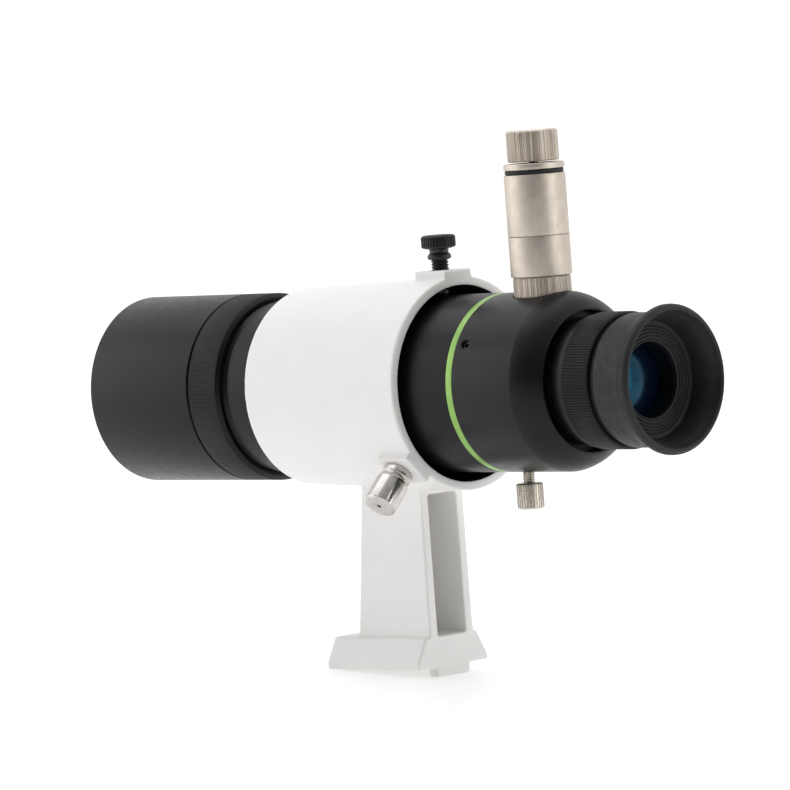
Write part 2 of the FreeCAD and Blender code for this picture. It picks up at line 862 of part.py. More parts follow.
def objective_lenses():
    """The air-spaced doublet: crown in front, flint behind, and the foil ring between them."""
    radius, inner = size["objective_radius"], size["objective_inner_curve"]
    rim_front, rim_rear = size["crown_rim_front"], size["crown_rim_rear"]
    flint_front = rim_rear - size["objective_air_gap"]
    outer = size["objective_front_curve"]
    crown = turned("crown_lens", [
        (ZERO, rim_rear - sag(inner, radius), inner, True),
        (radius, rim_rear),
        (radius, rim_front, outer, True),
        (ZERO, rim_front + sag(outer, radius)),
    ])
    flint = turned("flint_lens", [
        (ZERO, size["objective_seat"]),
        (radius, size["objective_seat"]),
        (radius, flint_front, inner, False),
        (ZERO, flint_front - sag(inner, radius)),
    ])
    foil_bore = radius - size["foil_width"]
    drop = sag(inner, radius) - sag(inner, foil_bore)
    foil = turned("objective_spacer", [
        (foil_bore, flint_front - drop),
        (radius, flint_front),
        (radius, rim_rear),
        (foil_bore, rim_rear - drop),
    ])
    for piece, label in ((crown, "crown_lens"), (flint, "flint_lens"), (foil, "objective_spacer")):
        on_axis(piece)
        finish(piece, label)


def objective_retainer():
    """The threaded ring that holds the doublet in its cell."""
    radius, bore = size["retainer_radius"], size["retainer_bore"]
    rear, front = size["crown_rim_front"], size["retainer_front"]
    ring = turned("objective_retainer", [
        (radius - size["retainer_relief"], rear),
        (radius, rear),
        (radius, front),
        (bore, front),
        (bore, rear + size["retainer_relief_length"]),
    ])
    on_axis(ring)
    finish(ring, "objective_retainer")


# ---------------------------------------------------------------- rear body and reticle

SET_SCREW_CLOCKS = (60.0, 300.0)
CLAMP_CLOCK = 180.0
SOCKET_SIDES = 6


def accent_ring():
    """The coloured ring trapped between the main tube and the rear body."""
    ring = turned("accent_ring", washer(
        size["tube_radius"], size["spigot_radius"] + SEATED, size["accent_rear"],
        size["accent_front"],
    ))
    on_axis(ring)
    finish(ring, "accent_ring")


def rear_body():
    """The rear body: spigot, reticle chamber, domed shoulder, and the eyepiece's threaded neck."""
    radius, bore, spigot = size["tube_radius"], size["body_bore"], size["spigot_radius"]
    front, rear = size["body_front"], size["body_rear"]
    neck, recess = size["body_neck_bore"], size["body_recess_radius"]
    blank = turned("rear_body_blank", [
        (bore, size["spigot_front"]),
        (bore, size["body_neck_front"]),
        (neck, size["body_neck_front"]),
        (neck, size["body_recess_floor"]),
        (recess, size["body_recess_floor"]),
        (recess, rear),
        (size["body_rear_radius"], rear, size["body_dome_radius"], True),
        (radius, size["body_shoulder"]),
        (radius, front),
        (spigot, front),
        (spigot, size["spigot_front"]),
    ])
    on_axis(blank)
    inside, outside = bore - OVERRUN, radius + OVERRUN
    seat = rod(
        size["light_grip_radius"] + size["light_seat_clearance"], size["light_seat"], outside,
        TOP_CLOCK, size["light_station"],
    )
    stem_hole = rod(
        size["light_stem_radius"] + SEATED, inside, radius, TOP_CLOCK, size["light_station"]
    )
    clamp_hole = rod(
        size["clamp_thread_radius"] + GAP, inside, outside, CLAMP_CLOCK,
        size["reticle_screw_station"],
    )
    set_holes = [
        rod(size["set_screw_radius"] + SEATED, inside, outside, clock,
            size["reticle_screw_station"])
        for clock in SET_SCREW_CLOCKS
    ]
    tools = [seat, stem_hole, clamp_hole] + set_holes
    finish(cut("rear_body", blank, tools), "rear_body")


def reticle_holder():
    """The ring that carries the reticle, with a light hole facing the lamp."""
    blank = turned("reticle_holder_blank", [
        (size["holder_seat_bore"], size["holder_rear"]),
        (size["holder_radius"], size["holder_rear"]),
        (size["holder_radius"], size["holder_front"]),
        (size["holder_bore"], size["holder_front"]),
        (size["holder_bore"], size["holder_seat"]),
        (size["holder_seat_bore"], size["holder_seat"]),
    ])
    on_axis(blank)
    light_hole = rod(
        size["reticle_light_hole_radius"], size["holder_seat_bore"],
        size["holder_radius"] + OVERRUN, TOP_CLOCK, size["light_station"],
    )
    finish(cut("reticle_holder", blank, [light_hole]), "reticle_holder")


def reticle_glass():
    """The etched glass disc, lit at its edge."""
    front = size["holder_seat"] + size["reticle_thickness"]
    glass = turned("reticle_glass", disc(size["reticle_radius"], size["holder_seat"], front))
    on_axis(glass)
    finish(glass, "reticle_glass")
    ring = turned("reticle_retainer", washer(
        size["reticle_radius"], size["holder_seat_bore"], front,
        front + size["reticle_retainer_thickness"],
    ))
    on_axis(ring)
    finish(ring, "reticle_retainer")


def set_screws():
    """Two hexagon-socket set screws that centre the reticle holder with the thumbscrew."""
    screws = []
    low, high = size["holder_radius"], size["set_screw_outer_reach"]
    for clock in SET_SCREW_CLOCKS:
        shank = rod(size["set_screw_radius"], low, high, clock, size["reticle_screw_station"])
        socket = doc.addObject("Part::Prism", "set_screw_socket")
        socket.Polygon = SOCKET_SIDES
        bind(socket, Circumradius=size["set_screw_socket_radius"], Height=OVERRUN)
        outward = FreeCAD.Rotation(FreeCAD.Vector(0, 1, 0), clock)
        direction = outward.multVec(FreeCAD.Vector(0, 0, 1))
        start = high - size["set_screw_socket_depth"]
        place(socket, outward, start * direction.x, size["reticle_screw_station"],
              AXIS + start * direction.z)
        screws.append(cut("set_screw", shank, [socket]))
    pair = doc.addObject("Part::Compound", "set_screws")
    pair.Links = screws
    finish(pair, "set_screws")


def clamp_screw():
    """The nickel M4 thumbscrew under the rear body and its brass tip."""
    thread, head, tip = (
        size["clamp_thread_radius"], size["clamp_head_radius"], size["clamp_tip_radius"]
    )
    start = size["holder_radius"] + size["tip_gap"]
    back = start + size["clamp_tip_length"]
    stem, chamfer = size["clamp_stem_radius"], size["clamp_head_chamfer"]
    socket, socket_end = stem + GAP, back + size["clamp_socket_depth"]
    stem_end = back + size["clamp_stem_length"]
    screw = turned("clamp_screw", [
        (socket, back),
        (thread, back),
        (thread, size["clamp_head_reach"]),
        (head, size["clamp_head_reach"]),
        (head, size["clamp_end_reach"] - chamfer),
        (head - chamfer, size["clamp_end_reach"]),
        (ZERO, size["clamp_end_reach"]),
        (ZERO, socket_end),
        (socket, socket_end),
    ])
    pad = turned("clamp_screw_tip", [
        (ZERO, start),
        (tip, start),
        (tip, back),
        (stem, back),
        (stem, stem_end),
        (ZERO, stem_end),
    ])
    for piece, label in ((screw, "clamp_screw"), (pad, "clamp_screw_tip")):
        on_radius(piece, size["reticle_screw_station"], CLAMP_CLOCK)
        finish(piece, label)


# ---------------------------------------------------------------- illuminator

CELL_COUNT = 3
CONTACT_SPRING_TURNS = 3.0


def light_piece(label, outline):
    """A piece turned about the illuminator's upright axis."""
    piece = turned(label, outline)
    on_radius(piece, size["light_station"], TOP_CLOCK)
    finish(piece, label)


def illuminator_case():
    """The knurled base with its threaded stem, and the two halves of the case."""
    bore, stem, grip = (
        size["light_bore_radius"], size["light_stem_radius"], size["light_grip_radius"]
    )
    seat, grip_top = size["light_seat"], size["light_grip_top"]
    spigot, spigot_top = size["light_spigot_radius"], size["light_spigot_top"]
    light_piece("illuminator_base", [
        (bore, size["light_stem_end"]),
        (stem, size["light_stem_end"]),
        (stem, seat),
        (grip, seat),
        (grip, grip_top),
        (spigot, grip_top),
        (spigot, spigot_top),
        (bore, spigot_top),
    ])
    radius, inner = size["case_radius"], size["case_bore"]
    joint, seam = size["case_joint_radius"], size["case_seam"]
    joint_top = seam + size["case_joint_length"]
    lower_top, upper_bottom = seam - GAP, seam + SEATED
    recess_top = joint_top + size["case_end_clearance"]
    plug_bore = size["switch_plug_radius"] + GAP
    light_piece("illuminator_lower_case", [
        (inner, size["case_bottom"]),
        (radius, size["case_bottom"]),
        (radius, lower_top),
        (joint, lower_top),
        (joint, joint_top),
        (inner, joint_top),
    ])
    light_piece("illuminator_upper_case", [
        (joint + GAP, upper_bottom),
        (radius, upper_bottom),
        (radius, size["case_top"]),
        (plug_bore, size["case_top"]),
        (plug_bore, recess_top),
        (joint + GAP, recess_top),
    ])


def illuminator_power():
    """Lamp, circuit board, contact spring, button cells and their plastic sleeve."""
    light_piece("lamp", [
        (ZERO, size["led_bottom"]),
        (size["led_radius"], size["led_bottom"] + size["led_dome"]),
        (size["led_radius"], size["led_top"]),
        (ZERO, size["led_top"]),
    ])
    board_top = size["board_bottom"] + size["board_thickness"]
    light_piece("circuit_board", disc(size["case_bore"] - GAP, size["board_bottom"], board_top))
    bottom, step = size["cell_bottom"], size["cell_height"]
    cells = []
    for count in range(CELL_COUNT):
        low = bottom + step * count
        cells.append(rod(size["cell_radius"], low, low + step - size["cell_gap"], TOP_CLOCK,
                         size["light_station"]))
    stack = doc.addObject("Part::Compound", "button_cells")
    stack.Links = cells
    finish(stack, "button_cells")
    light_piece("cell_sleeve", washer(
        size["cell_sleeve_radius"], size["cell_radius"] + GAP, board_top,
        bottom + step * CELL_COUNT - size["cell_sleeve_inset"],
    ))
    coil_spring(
        "contact_spring", size["contact_spring_radius"], size["contact_spring_wire"],
        board_top + size["contact_spring_gap"], bottom - size["contact_spring_gap"],
        CONTACT_SPRING_TURNS,
        FreeCAD.Rotation(), size["light_station"],
    )


def illuminator_switch():
    """Seal ring, flanged switch base, dimmer, its shaft and the knurled knob."""
    light_piece("seal_ring", washer(
        size["seal_ring_radius"], size["seal_ring_bore"], size["case_top"], size["switch_seat"]
    ))
    plug, flange = size["switch_plug_radius"], size["switch_flange_radius"]
    shaft = size["dimmer_shaft_radius"]
    shaft_hole = shaft + size["shaft_clearance"]
    pocket = size["dimmer_radius"] + GAP
    plug_end = size["case_top"] - size["switch_plug_length"]
    light_piece("switch_base", [
        (pocket, plug_end),
        (plug, plug_end),
        (plug, size["switch_seat"]),
        (flange, size["switch_seat"]),
        (flange, size["switch_flange_top"]),
        (shaft_hole, size["switch_flange_top"]),
        (shaft_hole, size["dimmer_top"]),
        (pocket, size["dimmer_top"]),
    ])
    light_piece("dimmer", washer(
        size["dimmer_radius"], shaft + GAP, size["dimmer_bottom"], size["dimmer_top"]
    ))
    knob, edge = size["knob_radius"], size["knob_edge"]
    top, bottom = size["knob_top"], size["knob_bottom"]
    shaft_top = top - size["knob_roof"]
    shaft_bottom = size["dimmer_bottom"] + size["shaft_clearance"]
    light_piece("dimmer_shaft", disc(shaft, shaft_bottom, shaft_top))
    light_piece("dimmer_knob", [
        (shaft + PRESSED, bottom),
        (knob, bottom),
        (knob, top - edge, edge, True),
        (knob - edge, top),
        (ZERO, top),
        (ZERO, shaft_top),
        (shaft + PRESSED, shaft_top),
    ])


# ---------------------------------------------------------------- eyepiece

def eyepiece_barrel():
    """The eyepiece barrel: threaded skirt, flared collar, knurled grip and eyecup neck."""
    lens_bore = size["eye_lens_radius"] + GAP
    field_bore = size["field_lens_radius"] + GAP
    barrel = turned("eyepiece_barrel", [
        (field_bore, size["skirt_front"]),
        (size["skirt_radius"], size["skirt_front"]),
        (size["skirt_radius"], size["collar_front"]),
        (size["collar_radius"], size["collar_front"]),
        (size["collar_radius"], size["collar_flare"], size["collar_flare_radius"], False),
        (size["grip_radius"], size["grip_front"]),
        (size["grip_radius"], size["grip_rear"] + size["grip_chamfer"]),
        (size["grip_radius"] - size["grip_chamfer"], size["grip_rear"]),
        (size["groove_radius"], size["grip_rear"]),
        (size["groove_radius"], size["groove_rear"]),
        (size["neck_radius"], size["groove_rear"]),
        (size["neck_radius"], size["neck_rear"]),
        (size["eye_bore"], size["neck_rear"]),
        (size["eye_bore"], size["eye_lens_seat"]),
        (lens_bore, size["eye_lens_seat"]),
        (lens_bore, size["field_lens_seat"]),
        (field_bore, size["field_lens_seat"]),
    ])
    on_axis(barrel)
    finish(barrel, "eyepiece_barrel")


def eyepiece_lenses():
    """Eye doublet, spacer, field lens, its retainer and the field stop."""
    radius, land = size["eye_lens_radius"], size["eye_lens_land"]
    rear_curve, inner = size["eye_lens_rear_curve"], size["eye_lens_inner_curve"]
    seat, front = size["eye_lens_seat"], size["eye_lens_front"]
    eye_lens = turned("eye_lens", [
        (ZERO, seat - sag(rear_curve, land), rear_curve, True),
        (land, seat),
        (radius, seat),
        (radius, front, inner, True),
        (ZERO, front + sag(inner, radius)),
    ])
    flint = turned("eye_lens_flint", [
        (ZERO, front + sag(inner, radius), inner, False),
        (radius, front),
        (radius, size["eye_flint_front"]),
        (ZERO, size["eye_flint_front"]),
    ])
    spacer = turned("eyepiece_spacer", washer(
        radius, size["eye_spacer_bore"], size["eye_flint_front"], size["field_lens_seat"]
    ))
    field_radius, curve = size["field_lens_radius"], size["field_lens_curve"]
    field_lens = turned("field_lens", [
        (ZERO, size["field_lens_seat"]),
        (field_radius, size["field_lens_seat"]),
        (field_radius, size["field_lens_rim"], curve, True),
        (ZERO, size["field_lens_rim"] + sag(curve, field_radius)),
    ])
    retainer = turned("field_lens_retainer", washer(
        field_radius, size["field_retainer_bore"], size["field_retainer_rear"],
        size["field_retainer_front"],
    ))
    stop = turned("field_stop", washer(
        field_radius, size["field_stop_bore"], size["field_stop_rear"], size["field_stop_front"]
    ))
    pieces = {
        "eye_lens": eye_lens,
        "eye_lens_flint": flint,
        "eyepiece_spacer": spacer,
        "field_lens": field_lens,
        "field_lens_retainer": retainer,
        "field_stop": stop,
    }
    for label, piece in pieces.items():
        on_axis(piece)
        finish(piece, label)


def eyecup():
    """The soft rubber eyecup: sleeve, flared rim, and the floor round the eye lens."""
    sleeve, lip, edge = size["neck_radius"] + PRESSED, size["cup_lip"], size["cup_lip_round"]
    cup = turned("eyecup", [
        (size["cup_opening"], size["neck_rear"]),
        (sleeve, size["neck_rear"]),
        (sleeve, size["groove_rear"]),
        (size["cup_radius"], size["groove_rear"]),
        (size["cup_radius"], size["cup_bend"], size["cup_bend_curve"], False),
        (size["cup_rim_radius"], size["cup_rim"]),
        (size["cup_lip_radius"] + edge, lip + edge),
        (size["cup_lip_radius"], lip),
        (size["cup_lip_inner_radius"], lip + size["cup_lip_hollow"]),
        (size["cup_floor_radius"], size["cup_floor"]),
        (size["cup_opening"], size["cup_floor"]),
    ])
    on_axis(cup)
    finish(cup, "eyecup")


# ---------------------------------------------------------------- build and write

def build():
    """Make every piece."""
    ring_bracket()
    plunger_housing()
    plunger_spring()
    plunger_pin()
    for side, clock in (("top", TOP_CLOCK), ("side", SIDE_CLOCK)):
        screw_tip(f"{side}_screw_tip", clock)
        adjusting_screw(f"{side}_adjusting_screw", clock)
    pivot_ring()
    main_tube()
    glare_stop()
    dew_shield()
    lock_ring()
    objective_lenses()
    objective_retainer()
    accent_ring()
    rear_body()
    reticle_holder()
    reticle_glass()
    set_screws()
    clamp_screw()
    illuminator_case()
    illuminator_power()
    illuminator_switch()
    eyepiece_barrel()
    eyepiece_lenses()
    eyecup()


def check():
    """Stop where an object failed to compute or a piece is not a sound solid."""
    for obj in doc.Objects:
        if "Invalid" in obj.State or "Error" in obj.State:
            raise RuntimeError(f"{obj.Label} did not compute: {obj.State}")
    for obj in finished:
        shape = obj.Shape
        if shape.isNull() or not shape.isValid() or not shape.Solids:
            raise RuntimeError(f"{obj.Label} is not a valid solid")


def write():
    """Write each piece to its own STEP file."""
    os.makedirs("parts", exist_ok=True)
    for obj in finished:
        obj.Shape.exportStep(os.path.join("parts", obj.Label + ".step"))
        centre = obj.Shape.BoundBox.Center
        print(
            f"{obj.Label:24s} solids {len(obj.Shape.Solids)} volume {obj.Shape.Volume:9.1f} "
            f"centre {centre.x:7.2f} {centre.y:7.2f} {centre.z:7.2f}"
        )


build()
doc.recompute()
check()
write()
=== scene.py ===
"""Finder scope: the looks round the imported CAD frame, for Blender 4.5.

The frame is the CAD frame: +Z up, +Y forward to the objective, +X right as seen from the eyepiece.
Lengths are in millimetres here, and MM turns them into metres where a mesh is made.
A station is a place along the optical axis; a reach is a distance out from it along a screw or the lamp.
A corner of an outline is (radius, station or reach), with a fillet's size after them where it has one.
"""

import json
import math
import random

import bmesh
import bpy
from mathutils import Matrix, Vector

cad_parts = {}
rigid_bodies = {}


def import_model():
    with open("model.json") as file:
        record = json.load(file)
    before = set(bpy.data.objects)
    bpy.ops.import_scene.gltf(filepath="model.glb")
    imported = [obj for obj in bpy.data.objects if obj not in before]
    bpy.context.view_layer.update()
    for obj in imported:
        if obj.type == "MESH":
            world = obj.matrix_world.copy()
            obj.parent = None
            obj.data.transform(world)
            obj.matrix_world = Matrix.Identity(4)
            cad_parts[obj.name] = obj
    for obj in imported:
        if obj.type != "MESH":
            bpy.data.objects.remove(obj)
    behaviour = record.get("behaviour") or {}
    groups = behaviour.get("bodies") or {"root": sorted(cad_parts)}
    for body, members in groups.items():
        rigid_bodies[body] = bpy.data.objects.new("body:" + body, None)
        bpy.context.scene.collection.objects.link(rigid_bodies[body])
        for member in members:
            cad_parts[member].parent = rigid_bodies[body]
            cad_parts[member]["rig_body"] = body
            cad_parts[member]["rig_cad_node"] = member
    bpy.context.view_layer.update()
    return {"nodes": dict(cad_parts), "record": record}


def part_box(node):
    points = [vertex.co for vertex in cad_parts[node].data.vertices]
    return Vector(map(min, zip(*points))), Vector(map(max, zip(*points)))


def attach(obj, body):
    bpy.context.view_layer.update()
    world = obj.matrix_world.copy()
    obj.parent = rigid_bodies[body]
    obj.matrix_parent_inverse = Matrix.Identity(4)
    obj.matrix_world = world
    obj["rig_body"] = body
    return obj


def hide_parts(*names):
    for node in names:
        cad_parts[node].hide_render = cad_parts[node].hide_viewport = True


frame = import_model()

MM = 0.001
FULL_TURN = 2.0 * math.pi
BODY_OF = {node["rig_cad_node"]: node["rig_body"] for node in frame["nodes"].values()}
SLOT_OF = {row["node"]: row["material_slot"] for row in frame["record"]["subparts"]}


# ---------------------------------------------------------------- places from the frame

def low_high(node, direction):
    """Lowest and highest coordinate of a CAD node along X, Y or Z, in millimetres."""
    index = "XYZ".index(direction)
    low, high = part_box(node)
    return low[index] / MM, high[index] / MM


def stations(node):
    """Rear and front station of a CAD node."""
    return low_high(node, "Y")


def half_width(node):
    """Half of a CAD node's size from left to right."""
    low, high = low_high(node, "X")
    return (high - low) / 2.0


def outermost(node):
    """The place furthest to the right on a CAD node: its radius, where it is centred on X = 0."""
    return low_high(node, "X")[1]


def reaches(node):
    """Where a CAD node starts and ends, going up from the optical axis."""
    low, high = low_high(node, "Z")
    return low - AXIS_HEIGHT, high - AXIS_HEIGHT


AXIS_HEIGHT = sum(low_high("main_tube", "Z")) / 2.0
SCREW_STATION = sum(stations("top_adjusting_screw")) / 2.0
CLAMP_STATION = sum(stations("clamp_screw")) / 2.0
LAMP_STATION = sum(stations("illuminator_upper_case")) / 2.0
PAD_REACH = outermost("ring_bracket")
TOP_CLOCK = 0.0
SIDE_CLOCK = 90.0
CLAMP_CLOCK = 180.0
PLUNGER_CLOCK = 225.0
SET_SCREW_CLOCKS = (60.0, 300.0)


class Axis:
    """A line that pieces are turned about: a point on it, its direction, and where angle 0 points."""

    def __init__(self, origin, along, zero):
        self.origin = Vector(origin)
        self.along = Vector(along).normalized()
        self.across = Vector(zero).normalized()
        self.side = self.along.cross(self.across)

    def point(self, radius, along, angle):
        """The place, in metres, at a radius and an angle about the line and a way along it."""
        out = self.across * math.cos(angle) + self.side * math.sin(angle)
        return (self.origin + self.along * along + out * radius) * MM


def radial_axis(station, clock):
    """The axis of a radial screw; clock is degrees clockwise from the top, seen from the eyepiece."""
    angle = math.radians(clock)
    return Axis((0, station, AXIS_HEIGHT), (math.sin(angle), 0, math.cos(angle)), (0, 1, 0))


OPTICAL = Axis((0, 0, AXIS_HEIGHT), (0, 1, 0), (0, 0, 1))
LAMP = radial_axis(LAMP_STATION, TOP_CLOCK)


# ---------------------------------------------------------------- mesh building

# an outline point with a smaller radius than this is a single point on the axis
ON_AXIS = 1e-6
# points closer together than this, in metres, are joined
WELD = 1e-7
SHARP_ANGLE = math.radians(32.0)
# the most of a side's length that one end's fillet may take up
LARGEST_FILLET = 0.49
# columns of points to each tooth of a knurl
TOOTH_COLUMNS = 4
# a thread is cut this far past its last outline points; a knurl stops this far inside its faces
THREAD_MARGIN = 0.01
KNURL_MARGIN = 0.02
# a thread's height before its crest is cut flat at 1
CREST_HEIGHT = 1.25
# a countersink's extra radius and extra height, for each millimetre that it sinks
SINK_FLARE = 1.6
SINK_LIFT = 0.6
DRILL_CLEARANCE = 3.0


def rounded(corners, steps=3):
    """An outline from corners (across, along, fillet): a corner with a fillet becomes a short curve."""
    points = []
    for index, corner in enumerate(corners):
        here = Vector(corner[:2])
        if len(corner) == 2:
            points.append(tuple(here))
            continue
        before = Vector(corners[index - 1][:2]) - here
        after = Vector(corners[(index + 1) % len(corners)][:2]) - here
        half = before.angle(after) / 2.0
        room = LARGEST_FILLET * min(before.length, after.length)
        reach = min(corner[2] / math.tan(half), room)
        start = here + before.normalized() * reach
        end = here + after.normalized() * reach
        for step in range(steps + 1):
            t = step / steps
            points.append(tuple(start * (1 - t) ** 2 + here * (2 * t * (1 - t)) + end * t ** 2))
    return points


def arc(start, end, bulge, steps):
    """Points from start to just before end along a curve that bows to the left by bulge."""
    start, end = Vector(start), Vector(end)
    chord = end - start
    left = Vector((-chord.y, chord.x)).normalized()
    points = []
    for step in range(steps):
        t = step / steps
        points.append(tuple(start + chord * t + left * (4.0 * bulge * t * (1 - t))))
    return points


def rows(radius, low, high, pitch, per_turn):
    """Outline points along a straight side that a thread is cut in, some for each of its turns."""
    count = max(1, round(abs(high - low) * per_turn / pitch))
    return [(radius, low + (high - low) * index / count) for index in range(count + 1)]


def new_object(name, data):
    """A new object in the scene that holds a mesh, light or camera."""
    obj = bpy.data.objects.new(name, data)
    bpy.context.scene.collection.objects.link(obj)
    return obj


def shade(mesh):
    """Smooth shading that keeps the machined edges crisp."""
    mesh.shade_smooth()
    mesh.set_sharp_from_angle(angle=SHARP_ANGLE)


def turned_bands(axis, outline, columns, relief):
    """A turned piece's points, and for each outline point the numbers of those in its band."""
    points, bands = [], []
    for radius, along in rounded(outline):
        if radius < ON_AXIS:
            bands.append([len(points)])
            points.append(axis.point(0.0, along, 0.0))
            continue
        band = []
        for column in range(columns):
            angle = FULL_TURN * column / columns
            cut = relief(column, angle, radius, along) if relief else radius
            band.append(len(points))
            points.append(axis.point(cut, along, angle))
        bands.append(band)
    return points, bands


def strip(band, after, columns):
    """The faces between two bands; a band on the axis is a single point."""
    faces = []
    if len(band) == 1 and len(after) == 1:
        return faces
    for column in range(columns):
        turn = (column + 1) % columns
        if len(band) == 1:
            faces.append((band[0], after[column], after[turn]))
        elif len(after) == 1:
            faces.append((band[column], after[0], band[turn]))
        else:
            faces.append((band[column], after[column], after[turn], band[turn]))
    return faces


def lathe(name, axis, outline, columns=160, relief=None):
    """Turn a closed outline about an axis.

    relief(column, angle, radius, along) gives the radius that is left where a pattern is cut.
    """
    points, bands = turned_bands(axis, outline, columns, relief)
    faces = []
    for index, band in enumerate(bands):
        faces += strip(band, bands[(index + 1) % len(bands)], columns)
    mesh = bpy.data.meshes.new(name)
    mesh.from_pydata(points, [], faces)
    work = bmesh.new()
    work.from_mesh(mesh)
    bmesh.ops.remove_doubles(work, verts=work.verts, dist=WELD)
    bmesh.ops.recalc_face_normals(work, faces=work.faces)
    work.to_mesh(mesh)
    work.free()
    shade(mesh)
    return new_object(name, mesh)


def in_groove(column):
    """Whether a column lies in the groove beside its tooth."""
    return column % TOOTH_COLUMNS >= TOOTH_COLUMNS / 2


def straight_knurl(depth, radius, low, high):
    """Straight teeth: half of each tooth's columns stay at the profile, half are cut to the floor."""
    floor = radius - depth

    def relief(column, angle, own, along):
        if low <= along <= high and in_groove(column):
            return min(own, floor)
        return own

    return relief


def rough_knurl(depth, radius, low, high, teeth, seed):
    """A straight knurl as rolled in soft metal: every tooth and groove has its own height."""
    draw = random.Random(seed)
    tops = [draw.uniform(0.0, 0.4) * depth for _ in range(teeth)]
    floors = [draw.uniform(0.5, 1.4) * depth for _ in range(teeth)]

    def relief(column, angle, own, along):
        if not low <= along <= high:
            return own
        tooth = column // TOOTH_COLUMNS
        drop = floors[tooth] if in_groove(column) else tops[tooth]
        return min(own, radius - drop)

    return relief


def screw_thread(pitch, depth, low, high, other=None):
    """A right-hand thread cut between two places along the axis; other is the relief elsewhere."""

    def relief(column, angle, own, along):
        if not low <= along <= high:
            return other(column, angle, own, along) if other else own
        phase = (along / pitch - angle / FULL_TURN) % 1.0
        height = min(1.0, CREST_HEIGHT * (1.0 - abs(2.0 * phase - 1.0)))
        return own - depth * (1.0 - height)

    return relief


def baked(obj):
    """Apply obj's modifiers to its mesh."""
    bpy.context.view_layer.update()
    graph = bpy.context.evaluated_depsgraph_get()
    mesh = bpy.data.meshes.new_from_object(obj.evaluated_get(graph))
    obj.modifiers.clear()
    obj.data = mesh
    return obj


def carve(obj, cutters):
    """Cut each of the cutters out of obj."""
    for cutter in cutters:
        hole = obj.modifiers.new("hole", "BOOLEAN")
        hole.operation = "DIFFERENCE"
        hole.solver = "EXACT"
        hole.object = cutter
    baked(obj)
    for cutter in cutters:
        bpy.data.objects.remove(cutter)
    shade(obj.data)
    return obj


def countersunk_drill(axis, radius, low, surface, sink):
    """A cutter for a round hole whose mouth widens by sink at the surface."""
    outline = [
        (0.0, low),
        (radius, low),
        (radius, surface - sink),
        (radius + sink * SINK_FLARE, surface + sink * SINK_LIFT),
        (radius + sink * SINK_FLARE, surface + DRILL_CLEARANCE),
        (0.0, surface + DRILL_CLEARANCE),
    ]
    return lathe("drill", axis, outline, columns=40)


def flat_drill(name, axis, radius, low, high, columns):
    """A cutter for a plain round hole or seat."""
    return lathe(name, axis, [(0, low), (radius, low), (radius, high), (0, high)], columns)


# ---------------------------------------------------------------- materials

# nearly all of a noise texture's values lie between these two
NOISE_LOW = 0.3
NOISE_HIGH = 0.7
# a wave texture turns through this many radians in each unit of its scale
WAVE_RADIANS = 20.0
# the painted shade in the casting's bore ends where radius + BORE_SLOPE * station passes BORE_LIMIT
BORE_SLOPE = 0.0137
BORE_LIMIT = 31.2


